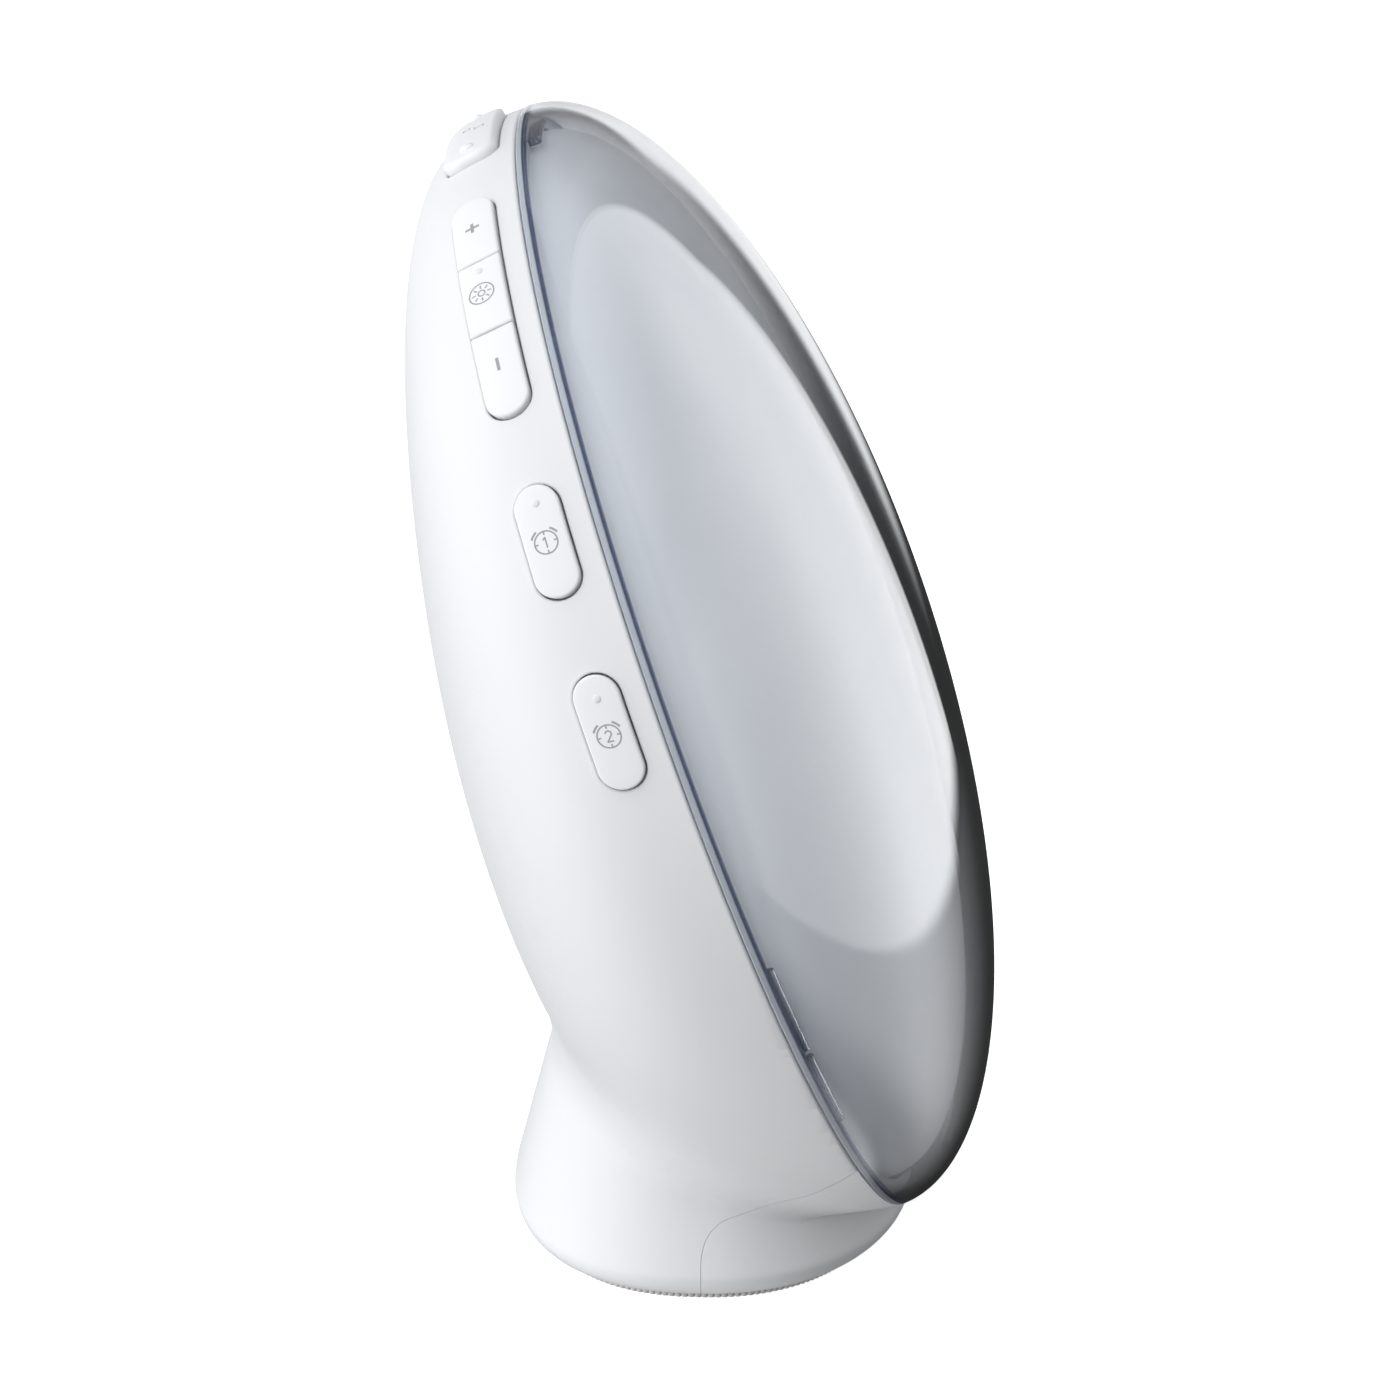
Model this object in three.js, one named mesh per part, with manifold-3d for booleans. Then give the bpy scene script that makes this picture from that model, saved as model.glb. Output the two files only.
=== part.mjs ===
// Wake-up light: a tilted round lamp head on a flared pedestal, keys around the shell's edge.
// Millimetres, +Z up, the lit face towards -Y, origin under the middle of the whole object.
import * as THREE from 'three';
import Module from 'manifold-3d';
import { mergeVertices } from 'three/addons/utils/BufferGeometryUtils.js';

const wasm = await Module();
wasm.setup();

// Lamp head: a circular rim plane, a lens in front of it and a bowl behind it.
const RIM_R = 95;
const RIM_Z = 97;
const TILT = THREE.MathUtils.degToRad(20);
const GAP = 0.3;
const FRONT = 18; // how far the blank runs in front of the rim before it is cut back
const SHELL_WALL = 2.2;
const BOWL = { depth: 47.8, edge: 3.26, face: 1.3, drop: 22.6, shift: 4.95 };
const BELLY = { edge: 1.4, face: 2.8 };
const SPEAKER_M = -23; // along the lamp plane, where the bowl is deepest
const JACK = { x: 15, z: 17.5, hole: 4.6, snout: 4.3, end: 28.8 };

const LENS = { r: 95.2, h: 34.6, innerR: 93.3, innerH: 32.7, step: 2, lipR: 92.4, lipIn: 91, lip: 1.8,
  seat: 3 };
const DIFFUSER = { r: 90.4, h: 29.5, wall: 1.5, base: -1.6 };
const DISH = { r: 89.8, top: -1.9, floorR: 62, floor: -14, wall: 1.4 };

// Pedestal: an oval cone with a rounded lower edge, a little squarer at the back.
const PED = { x: 47, y: 33.6, yc: 1, bottom: 1.6, round: 4.2, leanX: 0.27, leanY: 0.26 };
const OVAL = { back: 2.4, front: 2.1 };
const MOUTH = { x: 41.3, y: 27.9, top: 5 };
const FOOT = { x: 42, y: 29.2, inX: 36, inY: 23.2, top: 1.3, ribs: 96, rib: 0.45 };
// Seam of the skirt seen from the side: up, round the corner, then along under the bowl.
const SKIRT = { back: 2, side: 7.5, corner: 14.4, arc: [-4, 15.6], dip: [-8.2, 16.9], ramp: [-12, 21.6],
  slope: 1.08 };
const LENS_RIB = { inner: 91.2, outer: 92.3, low: 1.8, high: 3.1, from: [194.4, 206], turn: 10.5 };

// Keys: oblong caps that follow the shell, behind the rim.
const KEY = { depth: 7.4, width: 7, raise: 0.8, bevel: 0.4, gap: 0.3, travel: 0.7, flange: 0.8 };
const BAR = { theta: 121.8, length: 47.6, seam: 7.6 };
const ALARM = { length: 18, thetas: [149, 167.3] };
const SNOOZE = { length: 29, width: 9, depth: 7.4, corner: 3.4, raise: 1.5 };
const CAP_FOOT = -(SHELL_WALL + GAP + 0.9);
const SWITCH = { side: 4.4, body: 1.2, tip: 0.9, play: 0.75 };
const BOARD = { width: 8, wall: 1 };

const X = new THREE.Vector3(1, 0, 0);
const N = new THREE.Vector3(0, -Math.cos(TILT), Math.sin(TILT));
const M = new THREE.Vector3(0, Math.sin(TILT), Math.cos(TILT));
const CENTRE = new THREE.Vector3(0, 0, RIM_Z);
const HEAD = new THREE.Matrix4().makeBasis(X, M, N).setPosition(CENTRE);

// ---- solids -----------------------------------------------------------------------------

function fromTriangles(points, triangles) {
  const plain = new THREE.BufferGeometry();
  plain.setAttribute('position', new THREE.Float32BufferAttribute(points.flat(), 3));
  plain.setIndex(triangles.flat());
  return solid(plain);
}

function solid(source) {
  const plain = source.clone();
  plain.deleteAttribute('normal');
  plain.deleteAttribute('uv');
  const welded = mergeVertices(plain, 1e-4);
  const pos = welded.getAttribute('position');
  const index = Array.from(welded.index.array);
  const kept = [];
  for (let i = 0; i < index.length; i += 3) {
    const [a, b, c] = index.slice(i, i + 3);
    if (a !== b && b !== c && a !== c) kept.push(a, b, c);
  }
  const p = (i) => new THREE.Vector3().fromBufferAttribute(pos, i);
  let volume = 0;
  for (let i = 0; i < kept.length; i += 3) {
    volume += p(kept[i]).dot(p(kept[i + 1]).cross(p(kept[i + 2])));
  }
  if (volume < 0) kept.reverse();
  const mesh = new wasm.Mesh({
    numProp: 3,
    vertProperties: new Float32Array(pos.array),
    triVerts: new Uint32Array(kept),
  });
  return new wasm.Manifold(mesh);
}

// Joins rings of points; a ring of one point closes an end.
function loft(rings) {
  const points = [];
  const triangles = [];
  const start = rings.map((ring) => {
    const first = points.length;
    points.push(...ring);
    return first;
  });
  for (let k = 0; k + 1 < rings.length; k += 1) {
    const [a, b] = [rings[k], rings[k + 1]];
    const n = Math.max(a.length, b.length);
    for (let i = 0; i < n; i += 1) {
      const at = (r, j) => start[r] + (j % rings[r].length);
      if (a.length > 1) triangles.push([at(k, i), at(k, i + 1), at(k + 1, i)]);
      if (b.length > 1) triangles.push([at(k, i + 1), at(k + 1, i + 1), at(k + 1, i)]);
    }
  }
  return fromTriangles(points, triangles);
}

// Solid of revolution about the lamp axis; the profile holds [radius, height] pairs.
function headLathe(profile, segments) {
  const outline = profile.map(([r, h]) => new THREE.Vector2(r, h));
  if (outline[0].x > 0 || outline.at(-1).x > 0) outline.push(outline[0].clone());
  const turned = new THREE.LatheGeometry(outline, segments).rotateX(Math.PI / 2);
  return solid(turned.applyMatrix4(HEAD));
}

function box(w, d, h, x = 0, y = 0, z = 0) {
  return solid(new THREE.BoxGeometry(w, d, h).translate(x, y, z));
}

function rod(r, h, z = 0, segments = 20) {
  return solid(new THREE.CylinderGeometry(r, r, h, segments).rotateX(Math.PI / 2).translate(0, 0, z));
}

function headBox(w, d, h, x, m, n) {
  return solid(new THREE.BoxGeometry(w, d, h).translate(x, m, n).applyMatrix4(HEAD));
}

// ---- outer form -------------------------------------------------------------------------

function bowlSection(a, inset) {
  const rim = RIM_R - inset;
  const u = Math.min(Math.max(a / (BOWL.depth - inset), 0), 1);
  const s = (1 - u ** BOWL.edge) ** (1 / BOWL.face);
  const top = rim * s - BOWL.drop * (1 - s ** BOWL.shift);
  const bottom = -BOWL.drop - (rim - BOWL.drop) * (1 - u ** BELLY.edge) ** (1 / BELLY.face);
  return { half: rim * s, rise: (top - bottom) / 2, mid: (top + bottom) / 2 };
}

function inBowl(x, y, z, inset) {
  const a = y * Math.cos(TILT) - (z - RIM_Z) * Math.sin(TILT);
  const m = y * Math.sin(TILT) + (z - RIM_Z) * Math.cos(TILT);
  if (a < -FRONT || a >= BOWL.depth - inset) return false;
  const s = bowlSection(a, inset);
  return (x / s.half) ** 2 + ((m - s.mid) / s.rise) ** 2 < 1;
}

// Distance from (0, y0) to the edge of a region along a direction, by halving.
function reach(inside, y0, cos, sin) {
  if (!inside(0, y0)) return 0;
  let [near, far] = [0, 2 * RIM_R];
  for (let k = 0; k < 34; k += 1) {
    const middle = (near + far) / 2;
    if (inside(middle * cos, y0 + middle * sin)) near = middle;
    else far = middle;
  }
  return near;
}

function oval(x, y, angle) {
  const [c, s] = [Math.abs(Math.cos(angle)), Math.abs(Math.sin(angle))];
  const power = Math.sin(angle) > 0 ? OVAL.back : OVAL.front;
  return ((c / x) ** power + (s / y) ** power) ** (-1 / power);
}

function pedestalHalf(z, inset) {
  const up = Math.max(z - PED.bottom - PED.round, 0);
  const low = Math.max(PED.round - (z - PED.bottom), 0);
  const rounding = inset ? 0 : PED.round - Math.sqrt(Math.max(PED.round ** 2 - low ** 2, 0));
  const half = [PED.x - PED.leanX * up - rounding - inset, PED.y - PED.leanY * up - rounding - inset];
  if (inset && z < MOUTH.top) return [MOUTH.x, MOUTH.y];
  return half;
}

function smoothMax(a, b, k) {
  const h = Math.max(k - Math.abs(a - b), 0) / k;
  return Math.max(a, b) + (h * h * k) / 4;
}

// Middle of the form at one height, where the polar rays of that slice start.
function spine(z, inset) {
  const front = (z - RIM_Z) * Math.tan(TILT) - (FRONT - 0.01) / Math.cos(TILT);
  let back = front;
  while (inBowl(0, back + 1, z, inset) || back < front + 1) back += 1;
  const t = THREE.MathUtils.smoothstep(z, 14, 70);
  return THREE.MathUtils.lerp(PED.yc, (front + back) / 2, t);
}

function slice(z, inset, count) {
  const y0 = spine(z, inset);
  const [hx, hy] = pedestalHalf(z, inset);
  const inside = (x, y) => inBowl(x, y, z, inset);
  const ring = [];
  for (let i = 0; i < count; i += 1) {
    const angle = (i * 2 * Math.PI) / count;
    const [c, s] = [Math.cos(angle), Math.sin(angle)];
    const bowl = reach(inside, y0, c, s);
    const foot = z < 60 ? oval(hx, hy, angle) - (y0 - PED.yc) * s : 0;
    const r = smoothMax(bowl, foot, 5 + 9 * Math.abs(c));
    ring.push([r * c, y0 + r * s, z]);
  }
  return ring;
}

function form(levels, inset, count, upper) {
  const top = RIM_Z + (RIM_R - inset) * Math.cos(TILT) + FRONT * Math.sin(TILT);
  const heights = [...levels];
  for (let k = 0; k < upper; k += 1) {
    const phi = THREE.MathUtils.degToRad(-36 + (126 * k) / upper);
    heights.push(RIM_Z + (top - RIM_Z) * Math.sin(phi));
  }
  const rings = heights.map((z) => slice(z, inset, count));
  const peak = [0, spine(top - 0.2, inset), top - 0.01];
  return loft([[[0, PED.yc, heights[0]]], ...rings, [peak]]);
}

// ---- slabs that follow the bowl ---------------------------------------------------------

function surface(theta, a) {
  const s = bowlSection(a, 0);
  return CENTRE.clone()
    .addScaledVector(X, s.half * Math.cos(theta))
    .addScaledVector(M, s.rise * Math.sin(theta) + s.mid)
    .addScaledVector(N, -a);
}

function frameAt(theta, a) {
  const e = 1e-3;
  const point = surface(theta, a);
  const along = surface(theta + e, a).sub(surface(theta - e, a)).normalize();
  const back = surface(theta, a + e).sub(surface(theta, a - e)).normalize();
  const out = along.clone().cross(back).normalize();
  if (out.dot(point.clone().sub(CENTRE)) < 0) out.negate();
  return { point, along, out, across: out.clone().cross(along) };
}

const FINE_ENDS = [0.1, 0.35, 0.65];
const COARSE_ENDS = [0.3];

// spec: theta (degrees), depth, length, width, corner, grow, from, to, low, high, bevel, ends
function slab(spec) {
  const { theta, depth, length, width, corner, grow = 0, low, high, bevel = 0 } = spec;
  const [endS, endW, round] = [length / 2 + grow, width / 2 + grow, corner + grow];
  const from = Math.max(spec.from ?? -Infinity, -endS);
  const to = Math.min(spec.to ?? Infinity, endS);
  const stops = [from, to];
  for (const f of spec.ends ?? FINE_ENDS) stops.push(endS - round * f, round * f - endS);
  for (let s = -endS + round; s < endS - round; s += 6) stops.push(s);
  if (bevel) stops.push(from + bevel, to - bevel);
  const rows = [...new Set(stops)].filter((s) => s >= from && s <= to).sort((a, b) => a - b);
  const spaced = rows.filter((s, i) => i === 0 || s - rows[i - 1] > 0.15);
  if (to - spaced.at(-1) > 1e-6) spaced[spaced.length - 1] = to;
  const halfAt = (s) => {
    const over = Math.max(Math.abs(s) - (endS - round), 0);
    return endW - round + Math.sqrt(Math.max(round ** 2 - over ** 2, 0));
  };
  const place = (s, v, offset) => {
    const half = halfAt(s);
    const angle = THREE.MathUtils.degToRad(theta) - s / RIM_R;
    const f = frameAt(angle, depth + v * half);
    return f.point.addScaledVector(f.out, offset).toArray();
  };
  const loops = spaced.map((s) => {
    const half = halfAt(s);
    const edge = s === from || s === to;
    const v = half > bevel ? 1 - bevel / Math.max(half, 1e-6) : 0;
    const crest = edge ? high - bevel : high;
    const upper = bevel
      ? [place(s, -1, high - bevel), place(s, -v, crest), place(s, v, crest), place(s, 1, high - bevel)]
      : [place(s, -1, high), place(s, 1, high)];
    return [...upper, place(s, 1, low), place(s, -1, low)];
  });
  return loftBar(loops);
}

// Joins equal loops and closes both ends with fans.
function loftBar(loops) {
  const centre = (loop) => {
    const sum = loop.reduce((t, p) => t.map((v, i) => v + p[i]), [0, 0, 0]);
    return sum.map((v) => v / loop.length);
  };
  return loft([[centre(loops[0])], ...loops, [centre(loops.at(-1))]]);
}

// ---- keys, switches and boards ----------------------------------------------------------

const oblong = { depth: KEY.depth, width: KEY.width, corner: KEY.width / 2 };
const bar = { ...oblong, theta: BAR.theta, length: BAR.length };
const snooze = { theta: 90, ...SNOOZE };
const seam = BAR.seam - GAP / 2;
const sides = [
  { name: 'light_plus', shape: { ...bar, to: -seam - GAP }, at: BAR.theta - 9.4 },
  { name: 'light_switch', shape: { ...bar, from: -seam, to: seam }, at: BAR.theta },
  { name: 'light_minus', shape: { ...bar, from: seam + GAP }, at: BAR.theta + 9.4 },
  { name: 'alarm_1', shape: { ...oblong, theta: ALARM.thetas[0], length: ALARM.length } },
  { name: 'alarm_2', shape: { ...oblong, theta: ALARM.thetas[1], length: ALARM.length } },
];
const farNames = ['sound_plus', 'sound_switch', 'sound_minus', 'clock_set', 'sound_source'];

// Arc length runs against theta, so the shapes of the bar are mirrored to match the names.
function mirrored(shape) {
  const [from, to] = [shape.from ?? -Infinity, shape.to ?? Infinity];
  return { ...shape, from: -to, to: -from };
}

function keyCap(shape, raise) {
  const cap = slab({ ...shape, low: CAP_FOOT, high: raise, bevel: KEY.bevel });
  const seat = { ...shape, grow: KEY.flange, ends: COARSE_ENDS };
  const flange = slab({ ...seat, low: CAP_FOOT, high: -(SHELL_WALL + GAP) });
  return cap.add(flange);
}

// Through opening for a cap, with an even seat for its flange behind the wall.
function pocket(shape) {
  const through = slab({ ...shape, grow: KEY.gap, low: -7, high: 4 });
  const seat = { ...shape, grow: KEY.flange + KEY.gap, ends: COARSE_ENDS };
  return through.add(slab({ ...seat, low: -7, high: -SHELL_WALL }));
}

function tactSwitch(theta, depth) {
  const f = frameAt(THREE.MathUtils.degToRad(theta), depth);
  const top = CAP_FOOT - KEY.travel - SWITCH.play;
  const body = box(SWITCH.side, SWITCH.side, SWITCH.body, 0, 0, top - SWITCH.tip - SWITCH.body / 2);
  const tip = rod(1.2, SWITCH.tip + 0.2, top - (SWITCH.tip + 0.2) / 2, 12);
  const pose = new THREE.Matrix4().makeBasis(f.along, f.out.clone().cross(f.along), f.out);
  return body.add(tip).transform(pose.setPosition(f.point).toArray());
}

function keyBoard(theta, length, depth) {
  const high = CAP_FOOT - KEY.travel - SWITCH.play - SWITCH.tip - SWITCH.body - 0.2;
  const strip = { theta, depth, length, width: BOARD.width, corner: 1, ends: COARSE_ENDS };
  return slab({ ...strip, low: high - BOARD.wall, high });
}

const flip = (manifold) => manifold.mirror([1, 0, 0]);

// ---- pieces -----------------------------------------------------------------------------

function ellipse(r, h, from, steps) {
  const first = Math.asin(from / h);
  const at = (k) => first + ((Math.PI / 2 - first) * k) / steps;
  return Array.from({ length: steps + 1 }, (_, k) => [
    k === steps ? 0 : r * Math.cos(at(k)),
    h * Math.sin(at(k)),
  ]);
}

function frontLens() {
  const { r, h, innerR, innerH, step, lipR, lipIn, lip } = LENS;
  const outer = ellipse(r, h, GAP, 9);
  const inner = ellipse(innerR, innerH, step, 7).reverse();
  const edge = [[lipIn, step], [lipIn, -lip], [lipR, -lip], [lipR, GAP]];
  const dome = headLathe([...outer, ...inner, ...edge].reverse(), 54);
  const rib = lensRibs();
  return dome.add(rib).add(flip(rib));
}

// Two short ribs inside the lens edge, low on the left.
function lensRibs() {
  const { inner, outer, low, high, turn } = LENS_RIB;
  const ribs = LENS_RIB.from.map((start) => {
    const loops = [0, 0.25, 0.5, 0.75, 1].map((t) => {
      const angle = THREE.MathUtils.degToRad(start + t * turn);
      const corner = (r, n) => {
        const point = new THREE.Vector3(r * Math.cos(angle), r * Math.sin(angle), n);
        return point.applyMatrix4(HEAD).toArray();
      };
      return [corner(inner, low), corner(outer, low), corner(outer, high), corner(inner, high)];
    });
    return loftBar(loops);
  });
  return ribs[0].add(ribs[1]);
}

// Straight round space about the lamp axis, kept clear for the lens or for its lip.
function lensSpace(r, depth) {
  return headLathe([[0, -depth], [r, -depth], [r, LENS.h], [0, LENS.h]], 90);
}

function diffuser() {
  const { r, h, wall, base } = DIFFUSER;
  const outer = ellipse(r, h, 0.5, 7);
  const inner = ellipse(r - wall, h - wall, 0.5, 6).reverse();
  return headLathe([[r, base], ...outer, ...inner, [r - wall, base], [r, base]].slice(1), 36);
}

function dish() {
  const { r, top, floorR, floor, wall } = DISH;
  const profile = [[0, floor - wall], [floorR, floor - wall], [86, top - 0.8], [r, top - 0.8],
    [r, top], [85.2, top], [floorR + 0.4, floor], [0, floor]];
  return headLathe(profile, 36);
}

// Room for the reflector and the lower lens edge inside the moulding.
function dishSpace() {
  const { r, top, floorR, floor, wall } = DISH;
  const deep = floor - wall - 1;
  const slope = [[0, deep], [floorR + 1, deep], [87, top - 1.8], [r + 1, top - 1.2]];
  return headLathe([...slope, [r + 1, 0], [0, 0]], 72);
}

function ovalPlate(x, y, z0, z1, count) {
  const ring = (z) => Array.from({ length: count }, (_, i) => {
    const angle = (i * 2 * Math.PI) / count;
    const r = oval(x, y, angle);
    return [r * Math.cos(angle), PED.yc + r * Math.sin(angle), z];
  });
  return loft([[[0, PED.yc, z0]], ring(z0), ring(z1), [[0, PED.yc, z1]]]);
}

function footRing() {
  const count = FOOT.ribs * 2;
  const ring = (z) => Array.from({ length: count }, (_, i) => {
    const angle = (i * 2 * Math.PI) / count;
    const r = oval(FOOT.x, FOOT.y, angle) - (i % 2) * FOOT.rib;
    return [r * Math.cos(angle), PED.yc + r * Math.sin(angle), z];
  });
  const outer = loft([[[0, PED.yc, 0]], ring(0), ring(FOOT.top), [[0, PED.yc, FOOT.top]]]);
  return outer.subtract(ovalPlate(FOOT.inX, FOOT.inY, -1, 3, 48));
}

function skirtBlock(grow) {
  const { back, side, corner, arc, dip, ramp, slope } = SKIRT;
  const outline = new THREE.Shape();
  outline.moveTo(-60, -3);
  outline.lineTo(back + grow, -3);
  outline.lineTo(back + grow, side);
  outline.quadraticCurveTo(back + grow, corner + grow, arc[0], arc[1] + grow);
  outline.quadraticCurveTo(dip[0] + grow * 0.4, dip[1] + grow, ramp[0] + grow, ramp[1] + grow);
  outline.lineTo(-60 + grow, ramp[1] + (ramp[0] + 60) * slope + grow);
  outline.lineTo(-60, -3);
  const block = new THREE.ExtrudeGeometry(outline, { depth: 140, bevelEnabled: false, curveSegments: 6 });
  const turn = new THREE.Matrix4().makeBasis(new THREE.Vector3(0, 1, 0), new THREE.Vector3(0, 0, 1), X);
  return solid(block.translate(0, 0, -70).applyMatrix4(turn));
}

function grille() {
  let slots = null;
  for (let k = -3; k <= 3; k += 1) {
    const length = 2 * Math.sqrt(18 ** 2 - (k * 5) ** 2);
    const slot = headBox(length, 1.8, 20, 0, SPEAKER_M + k * 5, -44);
    slots = slots ? slots.add(slot) : slot;
  }
  return slots;
}

function speaker() {
  const turned = headLathe([[0, -26], [12, -26], [12, -33], [22, -36], [24, -37], [24, -39],
    [21, -39], [9, -35.5], [0, -34.5]], 28);
  return turned.translate(M.clone().multiplyScalar(SPEAKER_M).toArray());
}

function dcJack() {
  const turn = new THREE.Matrix4().makeRotationX(-Math.PI / 2);
  const along = (r, from, to) => rod(r, to - from, (from + to) / 2).transform(turn.toArray());
  const block = box(13, 10, 10, 0, 17.5, 0).add(along(JACK.snout, 20, JACK.end));
  const bored = block.subtract(along(3.1, 18.5, 32)).add(along(1, 18, JACK.end - 1.2));
  return bored.translate(JACK.x, 0, JACK.z);
}

function mainBoard() {
  const board = headBox(84, 62, 1.6, 0, -6, -18.4);
  const chip = headBox(14, 14, 1.9, -20, 6, -19.85);
  const coil = headBox(16, 12, 6, 26, 12, -22);
  const socket = headBox(18, 6, 5, -24, -28, -21.6);
  return board.add(chip).add(coil).add(socket);
}

function displayModule() {
  let module = headBox(56, 24, 7, 0, -48, 12);
  for (const x of [-22, 22]) module = module.add(headBox(4, 4, 23, x, -48, -2.3));
  return module;
}

// ---- assembly ---------------------------------------------------------------------------

const group = new THREE.Group();
group.name = 'wake_up_light';

const white = { color: 0xeff0f2, roughness: 0.45, metalness: 0 };
const keyWhite = { color: 0xe9eaec, roughness: 0.5, metalness: 0 };
const clear = { color: 0xaab4bd, roughness: 0.06, metalness: 0, transparent: true, opacity: 0.35 };
const milky = { color: 0xdfe6ea, roughness: 0.6, metalness: 0 };
const rubber = { color: 0xc9c7c3, roughness: 0.85, metalness: 0 };
const boardGreen = { color: 0x2f6b45, roughness: 0.55, metalness: 0 };
const dark = { color: 0x1d1f22, roughness: 0.5, metalness: 0 };
const steel = { color: 0x9a9da1, roughness: 0.35, metalness: 1 };

function place(name, manifold, look) {
  const mesh = manifold.getMesh();
  const geometry = new THREE.BufferGeometry();
  geometry.setAttribute('position', new THREE.Float32BufferAttribute(mesh.vertProperties, 3));
  geometry.setIndex(Array.from(mesh.triVerts));
  const flat = geometry.toNonIndexed();
  flat.computeVertexNormals();
  const part = new THREE.Mesh(flat, new THREE.MeshStandardMaterial(look));
  part.name = name;
  group.add(part);
}

const keys = sides.map((k) => ({ ...k, at: k.at ?? k.shape.theta, shape: mirrored(k.shape) }));
const barPocket = pocket({ ...bar });
const alarmPockets = ALARM.thetas.map((theta) => pocket({ ...oblong, theta, length: ALARM.length }));
const sidePockets = alarmPockets.reduce((all, one) => all.add(one), barPocket);

const outer = form([1.6, 1.9, 2.6, 3.8, 5.6, 9, 12, 15, 17.5, 20, 22.5, 25, 28, 32, 36], 0, 54, 15);
const cavity = form([-1, 4.9, 5.6, 10, 15, 22, 29, 36], SHELL_WALL, 40, 12).add(dishSpace());
const frontSpace = headBox(400, 400, 100, 0, 0, 50);
const jackHole = rod(JACK.hole, 30, 0).transform(new THREE.Matrix4().makeRotationX(-Math.PI / 2).toArray());
const shell = outer.subtract(cavity)
  .subtract(frontSpace)
  .subtract(lensSpace(LENS.lipR + GAP, LENS.seat))
  .subtract(skirtBlock(GAP))
  .subtract(sidePockets)
  .subtract(flip(sidePockets))
  .subtract(pocket(snooze))
  .subtract(jackHole.translate(JACK.x, 30, JACK.z))
  .subtract(grille());
const skirt = outer.subtract(cavity)
  .intersect(skirtBlock(0))
  .subtract(lensSpace(LENS.r + GAP, 0))
  .subtract(lensSpace(LENS.lipR + GAP, LENS.seat));

place('rear_shell', shell, white);
place('front_skirt', skirt, white);
place('front_lens', frontLens(), clear);
place('diffuser', diffuser(), milky);
place('reflector', dish(), white);
place('led_board', headLathe([[0, -13.7], [36, -13.7], [36, -12.2], [0, -12.2]], 32), boardGreen);
for (let k = 0; k < 6; k += 1) {
  const angle = (k * Math.PI) / 3;
  place(`led_${k + 1}`, headBox(5, 5, 1.4, 26 * Math.cos(angle), 26 * Math.sin(angle), -11.3), milky);
}
place('display_module', displayModule(), dark);
place('main_board', mainBoard(), boardGreen);
place('speaker', speaker(), dark);
place('dc_jack', dcJack(), dark);

const screwSpots = [[-24, 0], [24, 0], [0, 14]];
let plate = ovalPlate(MOUTH.x - GAP, MOUTH.y - GAP, 1.9, 3.9, 48);
let weight = ovalPlate(36, 19.5, 4.3, 11.3, 40);
for (const [x, y] of screwSpots) {
  plate = plate.subtract(rod(1.8, 6, 3).translate(x, y, 0));
  weight = weight.subtract(rod(1.8, 20, 8).translate(x, y, 0));
}
place('base_plate', plate, white);
place('counterweight', weight, steel);
place('foot_ring', footRing(), rubber);
screwSpots.forEach(([x, y], k) => {
  const screw = rod(2.9, 0.9, 1.15, 16).add(rod(1.45, 8.4, 5.2, 16));
  place(`screw_base_${k + 1}`, screw.translate(x, y, 0), steel);
});

keys.forEach((key, k) => {
  const cap = keyCap(key.shape, KEY.raise);
  const button = tactSwitch(key.at, KEY.depth);
  place(`key_${key.name}`, cap, keyWhite);
  place(`switch_${key.name}`, button, dark);
  place(`key_${farNames[k]}`, flip(cap), keyWhite);
  place(`switch_${farNames[k]}`, flip(button), dark);
});
const bumps = [-10.5, 10.5].map((x) => {
  const f = frameAt(Math.PI / 2 - x / RIM_R, SNOOZE.depth);
  const centre = f.point.addScaledVector(f.out, SNOOZE.raise - 0.2);
  return solid(new THREE.SphereGeometry(1.1, 10, 6)).translate(centre.toArray());
});
place('key_snooze', keyCap(snooze, SNOOZE.raise).add(bumps[0]).add(bumps[1]), keyWhite);
place('switch_snooze', tactSwitch(90, SNOOZE.depth), dark);
const sideBoard = keyBoard(141, 118, KEY.depth);
place('key_board_left', sideBoard, boardGreen);
place('key_board_right', flip(sideBoard), boardGreen);
place('key_board_top', keyBoard(90, 24, SNOOZE.depth), boardGreen);

const bounds = new THREE.Box3().setFromObject(group);
const middle = bounds.getCenter(new THREE.Vector3());
for (const part of group.children) part.geometry.translate(0, -middle.y, 0);

export default group;
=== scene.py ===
"""Wake-up light: looks, fine meshes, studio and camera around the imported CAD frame."""
import math

import bmesh
import bpy
import numpy as np
from mathutils import Matrix, Vector


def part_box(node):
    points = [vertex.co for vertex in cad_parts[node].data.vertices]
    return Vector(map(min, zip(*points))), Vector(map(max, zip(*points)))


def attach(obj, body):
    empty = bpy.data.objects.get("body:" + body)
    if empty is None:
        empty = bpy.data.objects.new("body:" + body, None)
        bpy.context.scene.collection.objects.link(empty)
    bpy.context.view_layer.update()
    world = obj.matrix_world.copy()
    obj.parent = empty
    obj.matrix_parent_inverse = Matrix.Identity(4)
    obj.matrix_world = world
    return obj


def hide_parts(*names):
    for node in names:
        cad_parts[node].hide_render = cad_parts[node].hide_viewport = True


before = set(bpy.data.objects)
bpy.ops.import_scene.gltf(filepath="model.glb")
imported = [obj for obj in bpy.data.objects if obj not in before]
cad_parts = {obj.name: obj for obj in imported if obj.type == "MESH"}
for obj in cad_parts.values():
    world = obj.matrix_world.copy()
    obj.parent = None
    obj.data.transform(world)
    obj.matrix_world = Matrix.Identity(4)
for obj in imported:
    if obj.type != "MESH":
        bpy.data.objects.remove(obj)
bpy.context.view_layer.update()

# Millimetres, in the part's own layout: the lamp's rim centre is at (0, 0, RIM_Z).
MM = 0.001
RIM_R = 95.0
RIM_Z = 97.0
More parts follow.
